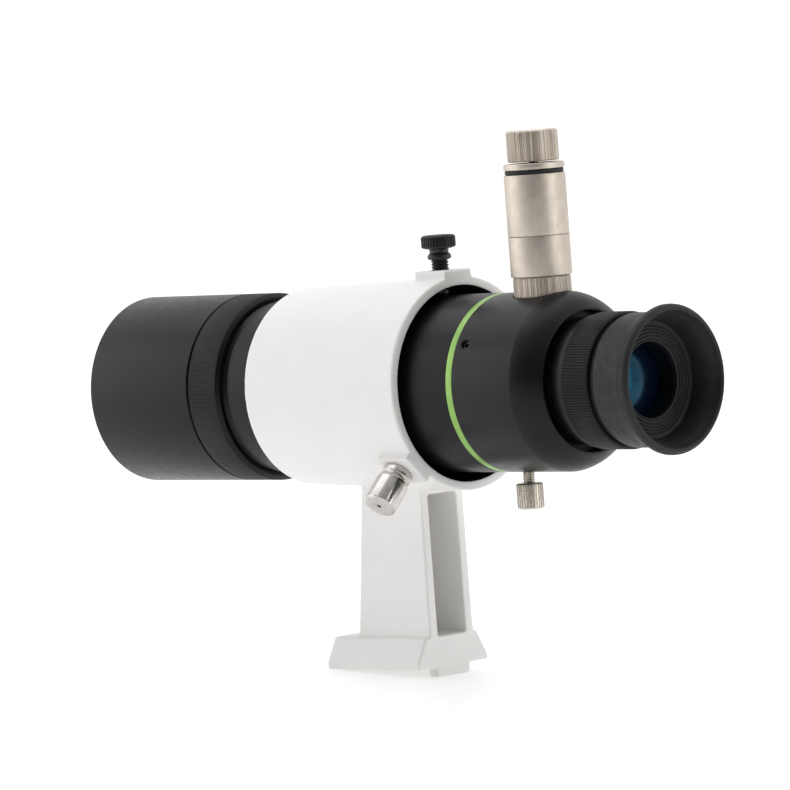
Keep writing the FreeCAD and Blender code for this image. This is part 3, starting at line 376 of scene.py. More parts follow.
class Look:
    """A material under construction: its shader, and noise in the frame's own coordinates."""

    def __init__(self, name, colour, roughness, **constants):
        self.material = bpy.data.materials.new(name)
        self.material.use_nodes = True
        self.tree = self.material.node_tree
        self.shader = self.tree.nodes["Principled BSDF"]
        self.shader.inputs["Base Color"].default_value = (*colour, 1.0)
        self.shader.inputs["Roughness"].default_value = roughness
        for socket, value in constants.items():
            self.shader.inputs[socket.replace("_", " ")].default_value = value
        self.place = self.tree.nodes.new("ShaderNodeTexCoord").outputs["Object"]
        self.height = None

    def link(self, source, target):
        self.tree.links.new(source, target)

    def noise(self, size, detail=2.0, stretch=(1.0, 1.0, 1.0)):
        """Noise whose features are about size millimetres across, drawn out along an axis by stretch."""
        mapping = self.tree.nodes.new("ShaderNodeMapping")
        mapping.inputs["Scale"].default_value = [1.0 / (size * MM * s) for s in stretch]
        self.link(self.place, mapping.inputs["Vector"])
        texture = self.tree.nodes.new("ShaderNodeTexNoise")
        texture.inputs["Scale"].default_value = 1.0
        texture.inputs["Detail"].default_value = detail
        self.link(mapping.outputs["Vector"], texture.inputs["Vector"])
        return texture.outputs["Fac"]

    def rings(self, pitch, direction="Y", distortion=0.4):
        """Fine turning marks across an axis."""
        wave = self.tree.nodes.new("ShaderNodeTexWave")
        wave.bands_direction = direction
        wave.inputs["Scale"].default_value = FULL_TURN / (WAVE_RADIANS * pitch * MM)
        wave.inputs["Distortion"].default_value = distortion
        self.link(self.place, wave.inputs["Vector"])
        return wave.outputs["Fac"]

    def between(self, source, low, high):
        """The noise in source turned into a number from low to high."""
        spread = self.tree.nodes.new("ShaderNodeMapRange")
        spread.inputs["From Min"].default_value = NOISE_LOW
        spread.inputs["From Max"].default_value = NOISE_HIGH
        spread.inputs["To Min"].default_value = low
        spread.inputs["To Max"].default_value = high
        self.link(source, spread.inputs["Value"])
        return spread.outputs["Result"]

    def tint(self, source, dark, light):
        """Base colour that wanders between two colours with source."""
        ramp = self.tree.nodes.new("ShaderNodeValToRGB")
        ramp.color_ramp.elements[0].position = NOISE_LOW
        ramp.color_ramp.elements[0].color = (*dark, 1.0)
        ramp.color_ramp.elements[1].position = NOISE_HIGH
        ramp.color_ramp.elements[1].color = (*light, 1.0)
        self.link(source, ramp.inputs["Fac"])
        self.link(ramp.outputs["Color"], self.shader.inputs["Base Color"])

    def paint_shade_in_bore(self, colour):
        """Painted shade: base colour turned to another inside the cone about the optical axis, where the
        bore lies in shadow.
        """
        split = self.tree.nodes.new("ShaderNodeSeparateXYZ")
        self.link(self.place, split.inputs[0])
        height = self.arithmetic("SUBTRACT", split.outputs["Z"], AXIS_HEIGHT * MM)
        across = self.arithmetic("POWER", split.outputs["X"], 2.0)
        upright = self.arithmetic("POWER", height, 2.0)
        reach = self.arithmetic("SQRT", self.arithmetic("ADD", across, upright), 0.0)
        widening = self.arithmetic("MULTIPLY", split.outputs["Y"], BORE_SLOPE)
        total = self.arithmetic("ADD", reach, widening)
        inside = self.arithmetic("LESS_THAN", total, BORE_LIMIT * MM)
        mix = self.tree.nodes.new("ShaderNodeMixRGB")
        base = self.shader.inputs["Base Color"]
        self.link(inside, mix.inputs["Fac"])
        self.link(base.links[0].from_socket, mix.inputs["Color1"])
        mix.inputs["Color2"].default_value = (*colour, 1.0)
        self.link(mix.outputs["Color"], base)

    def arithmetic(self, operation, first, second):
        """The result of an operation on two numbers, the second a socket or a constant."""
        node = self.tree.nodes.new("ShaderNodeMath")
        node.operation = operation
        self.link(first, node.inputs[0])
        if isinstance(second, float):
            node.inputs[1].default_value = second
        else:
            self.link(second, node.inputs[1])
        return node.outputs["Value"]

    def gloss(self, source, low, high):
        """Roughness that wanders between two values with source."""
        self.link(self.between(source, low, high), self.shader.inputs["Roughness"])

    def bump(self, source, depth, strength=1.0):
        """Relief of depth millimetres, on top of any relief there already."""
        relief = self.tree.nodes.new("ShaderNodeBump")
        relief.inputs["Distance"].default_value = depth * MM
        relief.inputs["Strength"].default_value = strength
        self.link(source, relief.inputs["Height"])
        if self.height:
            self.link(self.height, relief.inputs["Normal"])
        self.height = relief.outputs["Normal"]
        self.link(self.height, self.shader.inputs["Normal"])


def powder_coat():
    """Satin white powder coat, with painted shade: the ring's shadowed bore coloured black."""
    look = Look("white_powder_coat", (0.86, 0.85, 0.83), 0.42, Specular_IOR_Level=0.4)
    look.tint(look.noise(14.0), (0.85, 0.84, 0.82), (0.87, 0.86, 0.84))
    # painted shade: the white coat turns near black inside the bore, where shadow falls
    look.paint_shade_in_bore((0.005, 0.005, 0.005))
    look.gloss(look.noise(3.0), 0.38, 0.50)
    look.bump(look.noise(0.9, 3.0), 0.03, 0.45)
    look.bump(look.noise(0.22), 0.006, 0.5)
    return look.material


def painted_bore_shade():
    """Painted shade: a flat black for the shadowed inside of the ring."""
    look = Look("painted_shade_black", (0.006, 0.006, 0.006), 0.75, Specular_IOR_Level=0.2)
    look.tint(look.noise(6.0), (0.004, 0.004, 0.004), (0.009, 0.009, 0.009))
    look.bump(look.noise(0.4), 0.02, 0.5)
    return look.material


def black_anodised():
    """Bead-blasted black anodising over faint turning marks."""
    look = Look("black_anodised", (0.005, 0.005, 0.007), 0.36, Specular_IOR_Level=0.22)
    look.tint(look.noise(9.0), (0.0045, 0.0045, 0.006), (0.006, 0.006, 0.008))
    look.gloss(look.noise(2.4, 4.0), 0.33, 0.41)
    look.bump(look.noise(0.16, 1.0), 0.004, 0.6)
    look.bump(look.rings(0.22), 0.001, 0.5)
    return look.material


def flat_black():
    """Flat black on ridged inner walls."""
    look = Look("flat_black", (0.008, 0.008, 0.009), 0.7, Specular_IOR_Level=0.25)
    look.tint(look.noise(5.0), (0.006, 0.006, 0.007), (0.011, 0.011, 0.012))
    look.bump(look.rings(0.5), 0.02, 0.6)
    return look.material


def green_anodised():
    """Bright green anodising."""
    look = Look("green_anodised", (0.25, 0.46, 0.10), 0.34, Metallic=0.35)
    look.tint(look.noise(5.0), (0.23, 0.43, 0.09), (0.28, 0.50, 0.12))
    look.gloss(look.noise(1.5), 0.30, 0.40)
    look.bump(look.rings(0.15), 0.001, 0.6)
    return look.material


def bright_nickel():
    """Polished nickel."""
    look = Look("bright_nickel", (0.56, 0.53, 0.50), 0.18, Metallic=1.0)
    look.tint(look.noise(3.0), (0.50, 0.47, 0.44), (0.60, 0.57, 0.54))
    look.gloss(look.noise(0.7, 4.0), 0.14, 0.24)
    look.bump(look.noise(1.4), 0.004, 0.5)
    return look.material


def satin_nickel():
    """Bead-blasted champagne nickel."""
    look = Look("satin_nickel", (0.60, 0.54, 0.465), 0.48, Metallic=1.0)
    look.tint(look.noise(4.0, 4.0), (0.56, 0.50, 0.43), (0.63, 0.57, 0.495))
    look.gloss(look.noise(1.1, 4.0), 0.43, 0.54)
    look.bump(look.noise(0.12, 1.0), 0.006, 0.7)
    look.bump(look.rings(0.3, "Z"), 0.001, 0.4)
    return look.material


def moulded_plastic(name, dark, light, roughness):
    """Moulded plastic with a faint mottle between two colours."""
    look = Look(name, light, roughness, Specular_IOR_Level=0.5)
    look.tint(look.noise(3.0), dark, light)
    look.gloss(look.noise(1.0), roughness - 0.05, roughness + 0.06)
    look.bump(look.noise(0.35), 0.012, 0.5)
    return look.material


def soft_rubber():
    """Matte black rubber with a dusty bloom."""
    look = Look("soft_rubber", (0.012, 0.012, 0.013), 0.58, Specular_IOR_Level=0.35)
    look.tint(look.noise(5.0, 3.0), (0.010, 0.010, 0.011), (0.016, 0.016, 0.0175))
    look.gloss(look.noise(2.0, 3.0), 0.50, 0.64)
    look.bump(look.noise(0.18, 2.0), 0.010, 0.6)
    return look.material


def coated_glass(name, body, coating, transmission, roughness=0.02):
    """Optical glass; the coating tints what it mirrors."""
    look = Look(
        name,
        body,
        roughness,
        Transmission_Weight=transmission,
        IOR=1.7,
        Specular_Tint=(*coating, 1.0),
    )
    look.gloss(look.noise(4.0), 0.7 * roughness, 1.3 * roughness)
    return look.material


def turned_metal(name, colour, roughness, pitch=0.25):
    """Turned metal with cutter marks pitch millimetres apart."""
    look = Look(name, colour, roughness, Metallic=1.0)
    look.tint(look.noise(2.0, 3.0), tuple(0.85 * c for c in colour), colour)
    look.gloss(look.noise(0.8, 3.0), roughness - 0.06, roughness + 0.08)
    look.bump(look.rings(pitch, "Z"), 0.004, 0.5)
    return look.material


MATERIALS = {
    "white_paint": powder_coat(),
    "black_anodised": black_anodised(),
    "flat_black": flat_black(),
    "green_anodised": green_anodised(),
    "nickel": bright_nickel(),
    "satin_nickel": satin_nickel(),
    "black_nylon": moulded_plastic("black_nylon", (0.007, 0.007, 0.009), (0.011, 0.011, 0.014), 0.38),
    "black_rubber": soft_rubber(),
    "lens_glass": coated_glass("coated_glass", (0.80, 0.90, 0.95), (0.25, 0.75, 0.70), 1.0),
    "spring_steel": turned_metal("spring_steel", (0.55, 0.55, 0.56), 0.28, 0.4),
    "brass": turned_metal("brass", (0.72, 0.53, 0.22), 0.30),
    "steel": turned_metal("black_oxide_steel", (0.10, 0.10, 0.11), 0.40),
    "cell_steel": turned_metal("cell_steel", (0.68, 0.68, 0.68), 0.22),
    "circuit_green": moulded_plastic("circuit_green", (0.02, 0.14, 0.05), (0.03, 0.20, 0.08), 0.3),
    "red_lamp": moulded_plastic("red_lamp", (0.50, 0.02, 0.01), (0.65, 0.04, 0.02), 0.15),
    "grey_plastic": moulded_plastic("grey_plastic", (0.14, 0.14, 0.14), (0.19, 0.19, 0.19), 0.45),
}


def dress(piece, *nodes):
    """The piece stands for these CAD nodes and rides where they ride; it gets their slot's material when
    it has none of its own.
    """
    slot = SLOT_OF[nodes[0]]
    if not piece.data.materials:
        piece.data.materials.append(MATERIALS[slot])
    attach(piece, BODY_OF[nodes[0]])
    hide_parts(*nodes)
    return piece


def dress_frame():
    """Give every CAD node the material of its slot."""
    for name, node in frame["nodes"].items():
        for material_slot in node.material_slots:
            material_slot.material = MATERIALS[SLOT_OF[name]]


# ---------------------------------------------------------------- bracket

CASTING_VOXEL = 0.42
SOFTENING_PASSES = 5
SOFTENING = 0.5
# points of the CAD mesh closer together than this, in metres, are joined
CASTING_WELD = 1e-6


def welded_copy(node):
    """A copy of a CAD node's mesh whose faces share their corners."""
    mesh = frame["nodes"][node].data.copy()
    work = bmesh.new()
    work.from_mesh(mesh)
    bmesh.ops.remove_doubles(work, verts=work.verts, dist=CASTING_WELD)
    work.to_mesh(mesh)
    work.free()
    return mesh


def ring_bracket():
    """The casting: the CAD solid with every edge and root softened as a coated casting's are."""
    casting = new_object("bracket_casting", welded_copy("ring_bracket"))
    remesh = casting.modifiers.new("even", "REMESH")
    remesh.mode = "VOXEL"
    remesh.voxel_size = CASTING_VOXEL * MM
    soften = casting.modifiers.new("soften", "SMOOTH")
    soften.factor = SOFTENING
    soften.iterations = SOFTENING_PASSES
    baked(casting)
    mesh = casting.data
    mesh.shade_smooth()
    mesh.materials.clear()
    mesh.materials.append(MATERIALS["white_paint"])
    # the second material is painted shade, black for the bore's shadowed faces
    mesh.materials.append(painted_bore_shade())
    paint_shade_on_bore(mesh)
    dress(casting, "ring_bracket")


def paint_shade_on_bore(mesh):
    """Painted shade: the black material covers every face that lies wholly inside the bore's black cone.
    """
    inside = []
    for vertex in mesh.vertices:
        x, y, z = vertex.co / MM
        inside.append(math.hypot(x, z - AXIS_HEIGHT) + BORE_SLOPE * y < BORE_LIMIT)
    for face in mesh.polygons:
        if all(inside[index] for index in face.vertices):
            face.material_index = 1


def plunger_housing():
    """The polished nickel cap: a collar at the pad, a groove, and the body with a small end hole."""
    axis = radial_axis(SCREW_STATION, PLUNGER_CLOCK)
    inner_end, end = 31.65, 51.0
    lip, wall = 0.8, 2.0
    mouth, bore, hole = 2.3, 3.3, 0.75
    shank, collar, groove, body = 4.25, 4.8, 4.4, 5.3
    chamfer = 0.62
    outline = [
        (mouth, inner_end),
        (shank, inner_end),
        (shank, PAD_REACH),
        (collar, PAD_REACH, 0.15),
        (collar, PAD_REACH + 2.4, 0.2),
        (groove, PAD_REACH + 2.7, 0.15),
        (groove, PAD_REACH + 3.3, 0.15),
        (body - 0.25, PAD_REACH + 3.8, 0.3),
        (body, PAD_REACH + 5.0, 0.4),
        (body, end - chamfer, 0.2),
        (body - chamfer, end, 0.2),
        (hole + 0.2, end, 0.15),
        (hole, end - 0.3),
        (hole, end - wall),
        (bore, end - wall),
        (bore, inner_end + lip),
        (mouth, inner_end + lip),
    ]
    dress(lathe("plunger_cap", axis, outline, columns=96), "plunger_housing")


def adjusting_screw(node, clock):
    """A black nylon thumbscrew: fine-toothed head, waist, flared collar, and an M6 x 1 thread."""
    axis = radial_axis(SCREW_STATION, clock)
    teeth, depth = 38, 0.32
    pitch, thread = 1.0, 2.85
    start, end = reaches("top_adjusting_screw")
    radius = outermost("top_adjusting_screw")
    collar, waist, head = 40.2, 42.1, 43.8
    socket, socket_end = 1.1, 32.4
    thread_start, thread_end = start + 0.6, collar - 0.2
    outline = [(socket, start), (2.4, start, 0.2)]
    outline += rows(thread, thread_start, thread_end, pitch, 8)
    outline += [
        (3.6, collar, 0.3),
        (3.9, collar + 0.6, 0.3),
        (3.75, waist - 0.5, 0.4),
        (3.05, waist + 0.2, 0.4),
        (3.15, head - 0.4, 0.3),
        (radius - 0.6, head, 0.2),
        (radius, head + 0.5, 0.1),
        (radius, end - 0.65, 0.1),
        (radius - 0.7, end, 0.25),
        (radius - 1.3, end, 0.1),
        (radius - 1.5, end - 0.25, 0.1),
        (0.0, end - 0.25),
        (0.0, socket_end),
        (socket, socket_end),
    ]
    knurl = straight_knurl(depth, radius, head + KNURL_MARGIN, end - KNURL_MARGIN)
    relief = screw_thread(pitch, 0.5, thread_start - THREAD_MARGIN, thread_end + THREAD_MARGIN, knurl)
    dress(lathe(node + "_turned", axis, outline, teeth * TOOTH_COLUMNS, relief), node)


# ---------------------------------------------------------------- tube and objective

def main_tube():
    """The plain tube, with a groove for the pivot ring and the objective's thread in front."""
    rear, front = stations("main_tube")
    radius = half_width("main_tube")
    bore, thread, groove = 26.2, 28.15, 27.3
    pivot = sum(stations("pivot_ring")) / 2.0
    groove_half = 2.4
    pitch, shoulder = 1.0, 45.6
    thread_rear, thread_front = shoulder + 0.4, front - 0.6
    outline = [
        (bore, rear, 0.2),
        (radius, rear, 0.15),
        (radius, pivot - groove_half, 0.2),
        (groove, pivot - groove_half, 0.2),
        (groove, pivot + groove_half, 0.2),
        (radius, pivot + groove_half, 0.2),
        (radius, shoulder - 0.4, 0.2),
        (thread, shoulder, 0.1),
    ]
    outline += rows(thread, thread_rear, thread_front, pitch, 4)
    outline += [(thread - 0.5, front, 0.1), (bore, front, 0.2)]
    relief = screw_thread(pitch, 0.35, thread_rear - THREAD_MARGIN, thread_front + THREAD_MARGIN)
    dress(lathe("main_tube_turned", OPTICAL, outline, 192, relief), "main_tube")


def dew_shield():
    """Dew shield and objective cell; the bore has fine ridges that stop stray light."""
    rear, front = stations("dew_shield")
    radius = half_width("dew_shield")
    seat = stations("flint_lens")[0]
    rim = stations("objective_retainer")[0]
    cell_bore, seat_bore, lens_bore, ring_bore, bore = 28.25, 24.9, 26.1, 26.7, 29.2
    seat_rear, bore_end = seat - 1.5, rim + 3.5
    ridge, ridge_pitch = 0.35, 0.8
    outline = [
        (cell_bore, rear, 0.15),
        (radius - 0.25, rear, 0.1),
        (radius, rear + 0.3, 0.15),
        (radius, front, 1.2),
        (bore + 0.3, front, 0.4),
        (bore, front - 0.9, 0.2),
    ]
    place = front - 1.6
    while place > bore_end + 1.2:
        outline += [(bore, place), (bore + ridge, place - ridge_pitch / 2.0)]
        place -= ridge_pitch
    outline += [
        (bore, bore_end),
        (ring_bore, bore_end, 0.15),
        (ring_bore, rim),
        (lens_bore, rim),
        (lens_bore, seat),
        (seat_bore, seat, 0.1),
        (seat_bore, seat_rear, 0.1),
        (cell_bore, seat_rear),
    ]
    dress(lathe("dew_shield_turned", OPTICAL, outline, 224), "dew_shield")


def lock_ring():
    """The lock ring with its fine straight knurl and deep rear chamfer."""
    rear, front = stations("lock_ring")
    radius = half_width("lock_ring")
    bore, teeth, depth = 28.25, 220, 0.26
    outline = [
        (bore, rear, 0.2),
        (radius - 1.3, rear, 0.2),
        (radius - 0.5, rear + 0.75),
        (radius - depth, rear + 1.0),
        (radius, rear + 1.3),
        (radius, front - 0.45),
        (radius - depth, front - 0.2),
        (radius - 0.5, front, 0.1),
        (bore, front, 0.2),
    ]
    relief = straight_knurl(depth, radius, rear, front)
    columns = teeth * TOOTH_COLUMNS
    dress(lathe("lock_ring_turned", OPTICAL, outline, columns, relief), "lock_ring")


def wrench_slot(station, angle):
    """A cutter for one of the retaining ring's slots, at an angle round the optical axis."""
    width, depth, length, reach = 1.2, 2.0, 4.0, 25.6
    slot = bmesh.new()
    bmesh.ops.create_cube(slot, size=1.0)
    bmesh.ops.scale(slot, verts=slot.verts, vec=Vector((width, depth, length)) * MM)
    bmesh.ops.translate(slot, verts=slot.verts, vec=Vector((0, station, reach)) * MM)
    bmesh.ops.rotate(slot, verts=slot.verts, matrix=Matrix.Rotation(angle, 3, "Y"))
    bmesh.ops.translate(slot, verts=slot.verts, vec=Vector((0, 0, AXIS_HEIGHT)) * MM)
    mesh = bpy.data.meshes.new("slot")
    slot.to_mesh(mesh)
    slot.free()
    return new_object("slot", mesh)


def objective_retainer():
    """The retaining ring with the two slots that a pin wrench turns it by."""
    rear, front = stations("objective_retainer")
    radius = half_width("objective_retainer")
    bore = 24.4
    outline = [
        (radius - 0.7, rear),
        (radius, rear),
        (radius, front, 0.15),
        (bore, front, 0.3),
        (bore, rear + 1.0, 0.1),
    ]
    ring = lathe("objective_retainer_turned", OPTICAL, outline, 160)
    slots = [wrench_slot(front, angle) for angle in (0.0, math.pi)]
    dress(carve(ring, slots), "objective_retainer")


# ---------------------------------------------------------------- rear body

def accent_ring():
    """The green ring between the rear body and the tube, seated on the body's spigot."""
    rear, front = stations("accent_ring")
    radius = half_width("accent_ring")
    bore = 26.2
    outline = [
        (bore, rear),
        (radius, rear, 0.2),
        (radius, front, 0.2),
        (bore, front),
    ]
    dress(lathe("accent_ring_turned", OPTICAL, outline, 224), "accent_ring")


def rear_body():
    """Rear body: barrel, domed shoulder, recess round the eyepiece, lamp seat and screw holes."""
    rear, front_of_spigot = stations("rear_body")
    radius = half_width("rear_body")
    front = stations("accent_ring")[0] - 0.05
    bore, spigot, neck, recess = 24.9, 26.15, 19.4, 22.4
    shoulder, rim, recess_floor, neck_front = -81.7, 23.1, -84.9, -77.4
    dome_bulge = -1.0
    outline = [
        (bore, front_of_spigot, 0.1),
        (bore, neck_front),
        (neck, neck_front, 0.2),
        (neck, recess_floor, 0.1),
        (recess, recess_floor, 0.3),
        (recess, rear, 0.2),
        (rim - 0.25, rear),
        (rim, rear + 0.12),
    ]
    outline += arc((rim + 0.15, rear + 0.35), (radius, shoulder), dome_bulge, 14)[1:]
    outline += [
        (radius, shoulder, 0.8),
        (radius, front, 0.2),
        (spigot, front),
        (spigot, front_of_spigot, 0.2),
    ]
    body = lathe("rear_body_turned", OPTICAL, outline, 224)
    dress(carve(body, body_drills(radius)), "rear_body")


def body_drills(surface):
    """Cutters for the lamp's seat and stem, the clamp screw and the set screws."""
    seat_radius, seat_top = 9.6, 31.0
    stem_radius, stem_low, stem_high = 4.0, 20.9, 28.0
    screw_low = 22.9
    clamp_radius, clamp_sink = 2.0, 0.35
    set_radius, set_sink = 1.5, 0.3
    clamp_axis = radial_axis(CLAMP_STATION, CLAMP_CLOCK)
    drills = [
        flat_drill("seat", LAMP, seat_radius, LAMP_SEAT, seat_top, 96),
        flat_drill("stem", LAMP, stem_radius, stem_low, stem_high, 64),
        countersunk_drill(clamp_axis, clamp_radius, screw_low, surface, clamp_sink),
    ]
    for clock in SET_SCREW_CLOCKS:
        axis = radial_axis(CLAMP_STATION, clock)
        drills.append(countersunk_drill(axis, set_radius, screw_low, surface, set_sink))
    return drills


def clamp_screw():
    """The nickel M4 thumbscrew under the body: coarse grooves on the head, thread above it."""
    axis = radial_axis(CLAMP_STATION, CLAMP_CLOCK)
    teeth, depth = 28, 0.42
    pitch, thread = 0.7, 1.95
    start, end = (-reach for reach in reversed(reaches("clamp_screw")))
    radius = outermost("clamp_screw")
    head = 32.2
    socket, socket_end = 0.8, 27.15
    thread_start, thread_end = start + 0.5, head - 0.15
    outline = [(socket, start), (1.5, start)]
    outline += rows(thread, thread_start, thread_end, pitch, 8)
    outline += [
        (1.6, head),
        (radius - 0.65, head, 0.1),
        (radius, head + 0.45, 0.15),
        (radius, end - 0.5, 0.15),
        (radius - 0.55, end, 0.15),
        (0.0, end),
        (0.0, socket_end),
        (socket, socket_end),
    ]
    knurl = straight_knurl(depth, radius, head + KNURL_MARGIN, end - KNURL_MARGIN)
    relief = screw_thread(pitch, 0.38, thread_start - THREAD_MARGIN, thread_end + THREAD_MARGIN, knurl)
    screw = lathe("clamp_screw_turned", axis, outline, teeth * TOOTH_COLUMNS, relief)
    screw.data.materials.append(turned_metal("turned_nickel", (0.66, 0.62, 0.55), 0.26))
    dress(screw, "clamp_screw")


# ---------------------------------------------------------------- reticle lamp

LAMP_SEAT = 27.2


def lamp_piece(node, outline, columns=128, relief=None):
    """A turned piece of the lamp, which stands for its CAD node."""
    dress(lathe(node + "_turned", LAMP, outline, columns, relief), node)


def lamp_base():
    """The base: a threaded stem into the body, a knurled grip, and a spigot for the case."""
    low, high = reaches("illuminator_base")
    grip = outermost("illuminator_base")
    grip_top = 33.6
    bore, spigot = 1.7, 8.0
    stem, pitch = 3.95, 0.5
    thread_low, thread_high = low + 0.05, LAMP_SEAT - 0.1
    teeth, depth, seed = 90, 0.32, 3
    outline = [(bore, low), (stem - 0.35, low)]
    outline += rows(stem, thread_low, thread_high, pitch, 5)
    outline += [
        (grip - 0.35, LAMP_SEAT, 0.1),
        (grip, LAMP_SEAT + 0.35, 0.1),
        (grip, grip_top - 0.35, 0.1),
        (grip - 0.35, grip_top, 0.1),
        (spigot, grip_top),
        (spigot, high, 0.3),
        (bore, high, 0.2),
    ]
    knurl_low, knurl_high = LAMP_SEAT + KNURL_MARGIN, grip_top - KNURL_MARGIN
    knurl = rough_knurl(depth, grip, knurl_low, knurl_high, teeth, seed)
    relief = screw_thread(pitch, 0.25, thread_low - THREAD_MARGIN, thread_high + THREAD_MARGIN, knurl)
    lamp_piece("illuminator_base", outline, teeth * TOOTH_COLUMNS, relief)


def lamp_case():
    """The two halves of the case, which meet at a seam over a threaded neck."""
    low, neck_top = reaches("illuminator_lower_case")
    upper_low, top = reaches("illuminator_upper_case")
    radius = outermost("illuminator_upper_case")
    seam = upper_low - 0.05
    lower_top = seam - 0.1
    bore, neck, sleeve, cavity = 8.1, 8.7, 8.8, 7.0
    lamp_piece("illuminator_lower_case", [
        (bore, low, 0.1),
        (radius, low, 0.3),
        (radius, lower_top, 0.15),
        (neck, lower_top),
        (neck, neck_top, 0.2),
        (bore, neck_top, 0.1),
    ])
    lamp_piece("illuminator_upper_case", [
        (sleeve, upper_low),
        (radius, upper_low, 0.15),
        (radius, top, 0.3),
        (cavity, top, 0.1),
        (cavity, neck_top + 0.5),
        (sleeve, neck_top + 0.5),
    ])


def lamp_flange():
    """The black seal ring and the flange that carries the dimmer."""
    seal_low, seal_high = reaches("seal_ring")
    seal = outermost("seal_ring")
    low, high = reaches("switch_base")
    flange = outermost("switch_base")
    seal_bore, skirt, skirt_bore, shaft_bore = 7.0, 6.9, 5.7, 2.0
    flange_underside = 66.0
    lamp_piece("seal_ring", [
        (seal_bore, seal_low),
        (seal, seal_low, 0.5),
        (seal, seal_high, 0.5),
        (seal_bore, seal_high),
    ])
    lamp_piece("switch_base", [
        (skirt_bore, low),
        (skirt, low, 0.1),
        (skirt, seal_high),
        (flange, seal_high, 0.35),
        (flange, high, 0.6),
        (shaft_bore, high, 0.1),
        (shaft_bore, flange_underside),
        (skirt_bore, flange_underside),
    ])


def dimmer_knob():
    """The knurled knob, with a rounded crown and a shallow dished top."""
    low, high = reaches("dimmer_knob")
    radius = outermost("dimmer_knob")
    shaft, dish, dish_depth, cap_thickness = 1.52, 6.6, 0.12, 2.0
    teeth, depth, seed = 84, 0.30, 11
    outline = [
        (shaft, low),
        (radius - 0.5, low, 0.1),
        (radius, low + 0.4, 0.1),
        (radius, high - 0.9),
        (radius - 0.12, high - 0.5),
        (radius - 0.36, high - 0.2),
        (radius - 0.8, high, 0.15),
        (dish, high, 0.1),
        (dish - 0.1, high - dish_depth, 0.05),
        (0.0, high - dish_depth),
        (0.0, high - cap_thickness),
        (shaft, high - cap_thickness),
    ]
    knurl = rough_knurl(depth, radius, low + KNURL_MARGIN, high - KNURL_MARGIN, teeth, seed)
    lamp_piece("dimmer_knob", outline, teeth * TOOTH_COLUMNS, knurl)


def reticle_lamp():
    """The lamp's turned pieces, from the rear body upwards."""
    lamp_base()
    lamp_case()
    lamp_flange()
    dimmer_knob()


# ---------------------------------------------------------------- eyepiece

def eyepiece_barrel():
    """Threaded skirt, flared collar, finely knurled grip and the groove before the eyecup."""
    rear, front = stations("eyepiece_barrel")
    grip = outermost("eyepiece_barrel")
    skirt, collar, shoulder, spigot = 19.3, 20.0, 20.2, 18.65
    collar_front, flare, grip_front, grip_rear = -88.0, -91.6, -97.2, -108.1
    shoulder_rear = stations("eyecup")[1]
    eye_bore, lens_bore, front_bore = 12.4, 13.1, 15.1
    eye_seat, field_seat = -108.43, -94.03
    teeth, depth = 150, 0.36
    outline = [
        (front_bore, front, 0.1),
        (skirt, front, 0.2),
        (skirt, collar_front + 0.3),
        (collar, collar_front, 0.1),
    ]
    outline += arc((collar, flare), (grip - depth, grip_front + 0.1), 0.35, 10)
    outline += [
        (grip - depth, grip_front + 0.05),
        (grip, grip_front - 0.25),
        (grip, grip_rear + 0.45),
        (grip - depth, grip_rear + 0.15),
        (grip - 0.5, grip_rear, 0.1),
        (shoulder, grip_rear, 0.2),
        (shoulder, shoulder_rear, 0.1),
        (spigot, shoulder_rear),
        (spigot, rear, 0.1),
        (eye_bore, rear, 0.1),
        (eye_bore, eye_seat),
        (lens_bore, eye_seat),
        (lens_bore, field_seat),
        (front_bore, field_seat),
    ]
    relief = straight_knurl(depth, grip, grip_rear, grip_front)
    columns = teeth * TOOTH_COLUMNS
    dress(lathe("eyepiece_turned", OPTICAL, outline, columns, relief), "eyepiece_barrel")


def eyecup():
    """Soft rubber: sleeve, flared bell with a rounded lip, and concentric ridges on the floor."""
    rear, front = stations("eyecup")
    barrel_end = stations("eyepiece_barrel")[0]
    sleeve, radius, rim = 18.67, 21.2, outermost("eyecup")
    ridge_outer, ridge_inner, ridges = 17.7, 12.6, 5
    crest_station, floor_station = -116.25, -115.75
    aperture = 12.0
    outline = [(sleeve, barrel_end), (sleeve, front - 0.05), (radius, front - 0.05, 0.45)]
    outline += arc((radius, -117.6), (rim, rear + 2.5), -0.42, 12)
    outline += [
        (rim, rear + 2.5, 0.8),
        (rim - 0.12, rear + 1.1, 0.9),
        (rim - 0.9, rear + 0.25, 0.7),
        (rim - 1.45, rear, 0.4),
        (rim - 2.1, rear + 0.5, 0.6),
    ]
    outline += arc((21.1, -124.6), (18.4, -116.5), 0.5, 10)
    outline += [(18.4, -116.3, 0.3)]
    pitch = (ridge_outer - ridge_inner) / ridges
    for index in range(ridges):
        crest = ridge_outer - pitch * index
        outline += [
            (crest, crest_station, 0.12),
            (crest - pitch * 0.5, crest_station, 0.12),
            (crest - pitch * 0.5 - 0.1, floor_station, 0.12),
            (crest - pitch + 0.1, floor_station, 0.12),
        ]
    outline += [(12.5, -116.2, 0.2), (aperture, -115.9, 0.2), (aperture, barrel_end)]
    dress(lathe("eyecup_moulded", OPTICAL, outline, 160), "eyecup")


def cap(curve, rim, share):
    """How far a ball of radius curve stands above its rim, at a share of the way out to it."""
    return math.sqrt(curve**2 - (rim * share) ** 2) - math.sqrt(curve**2 - rim**2)


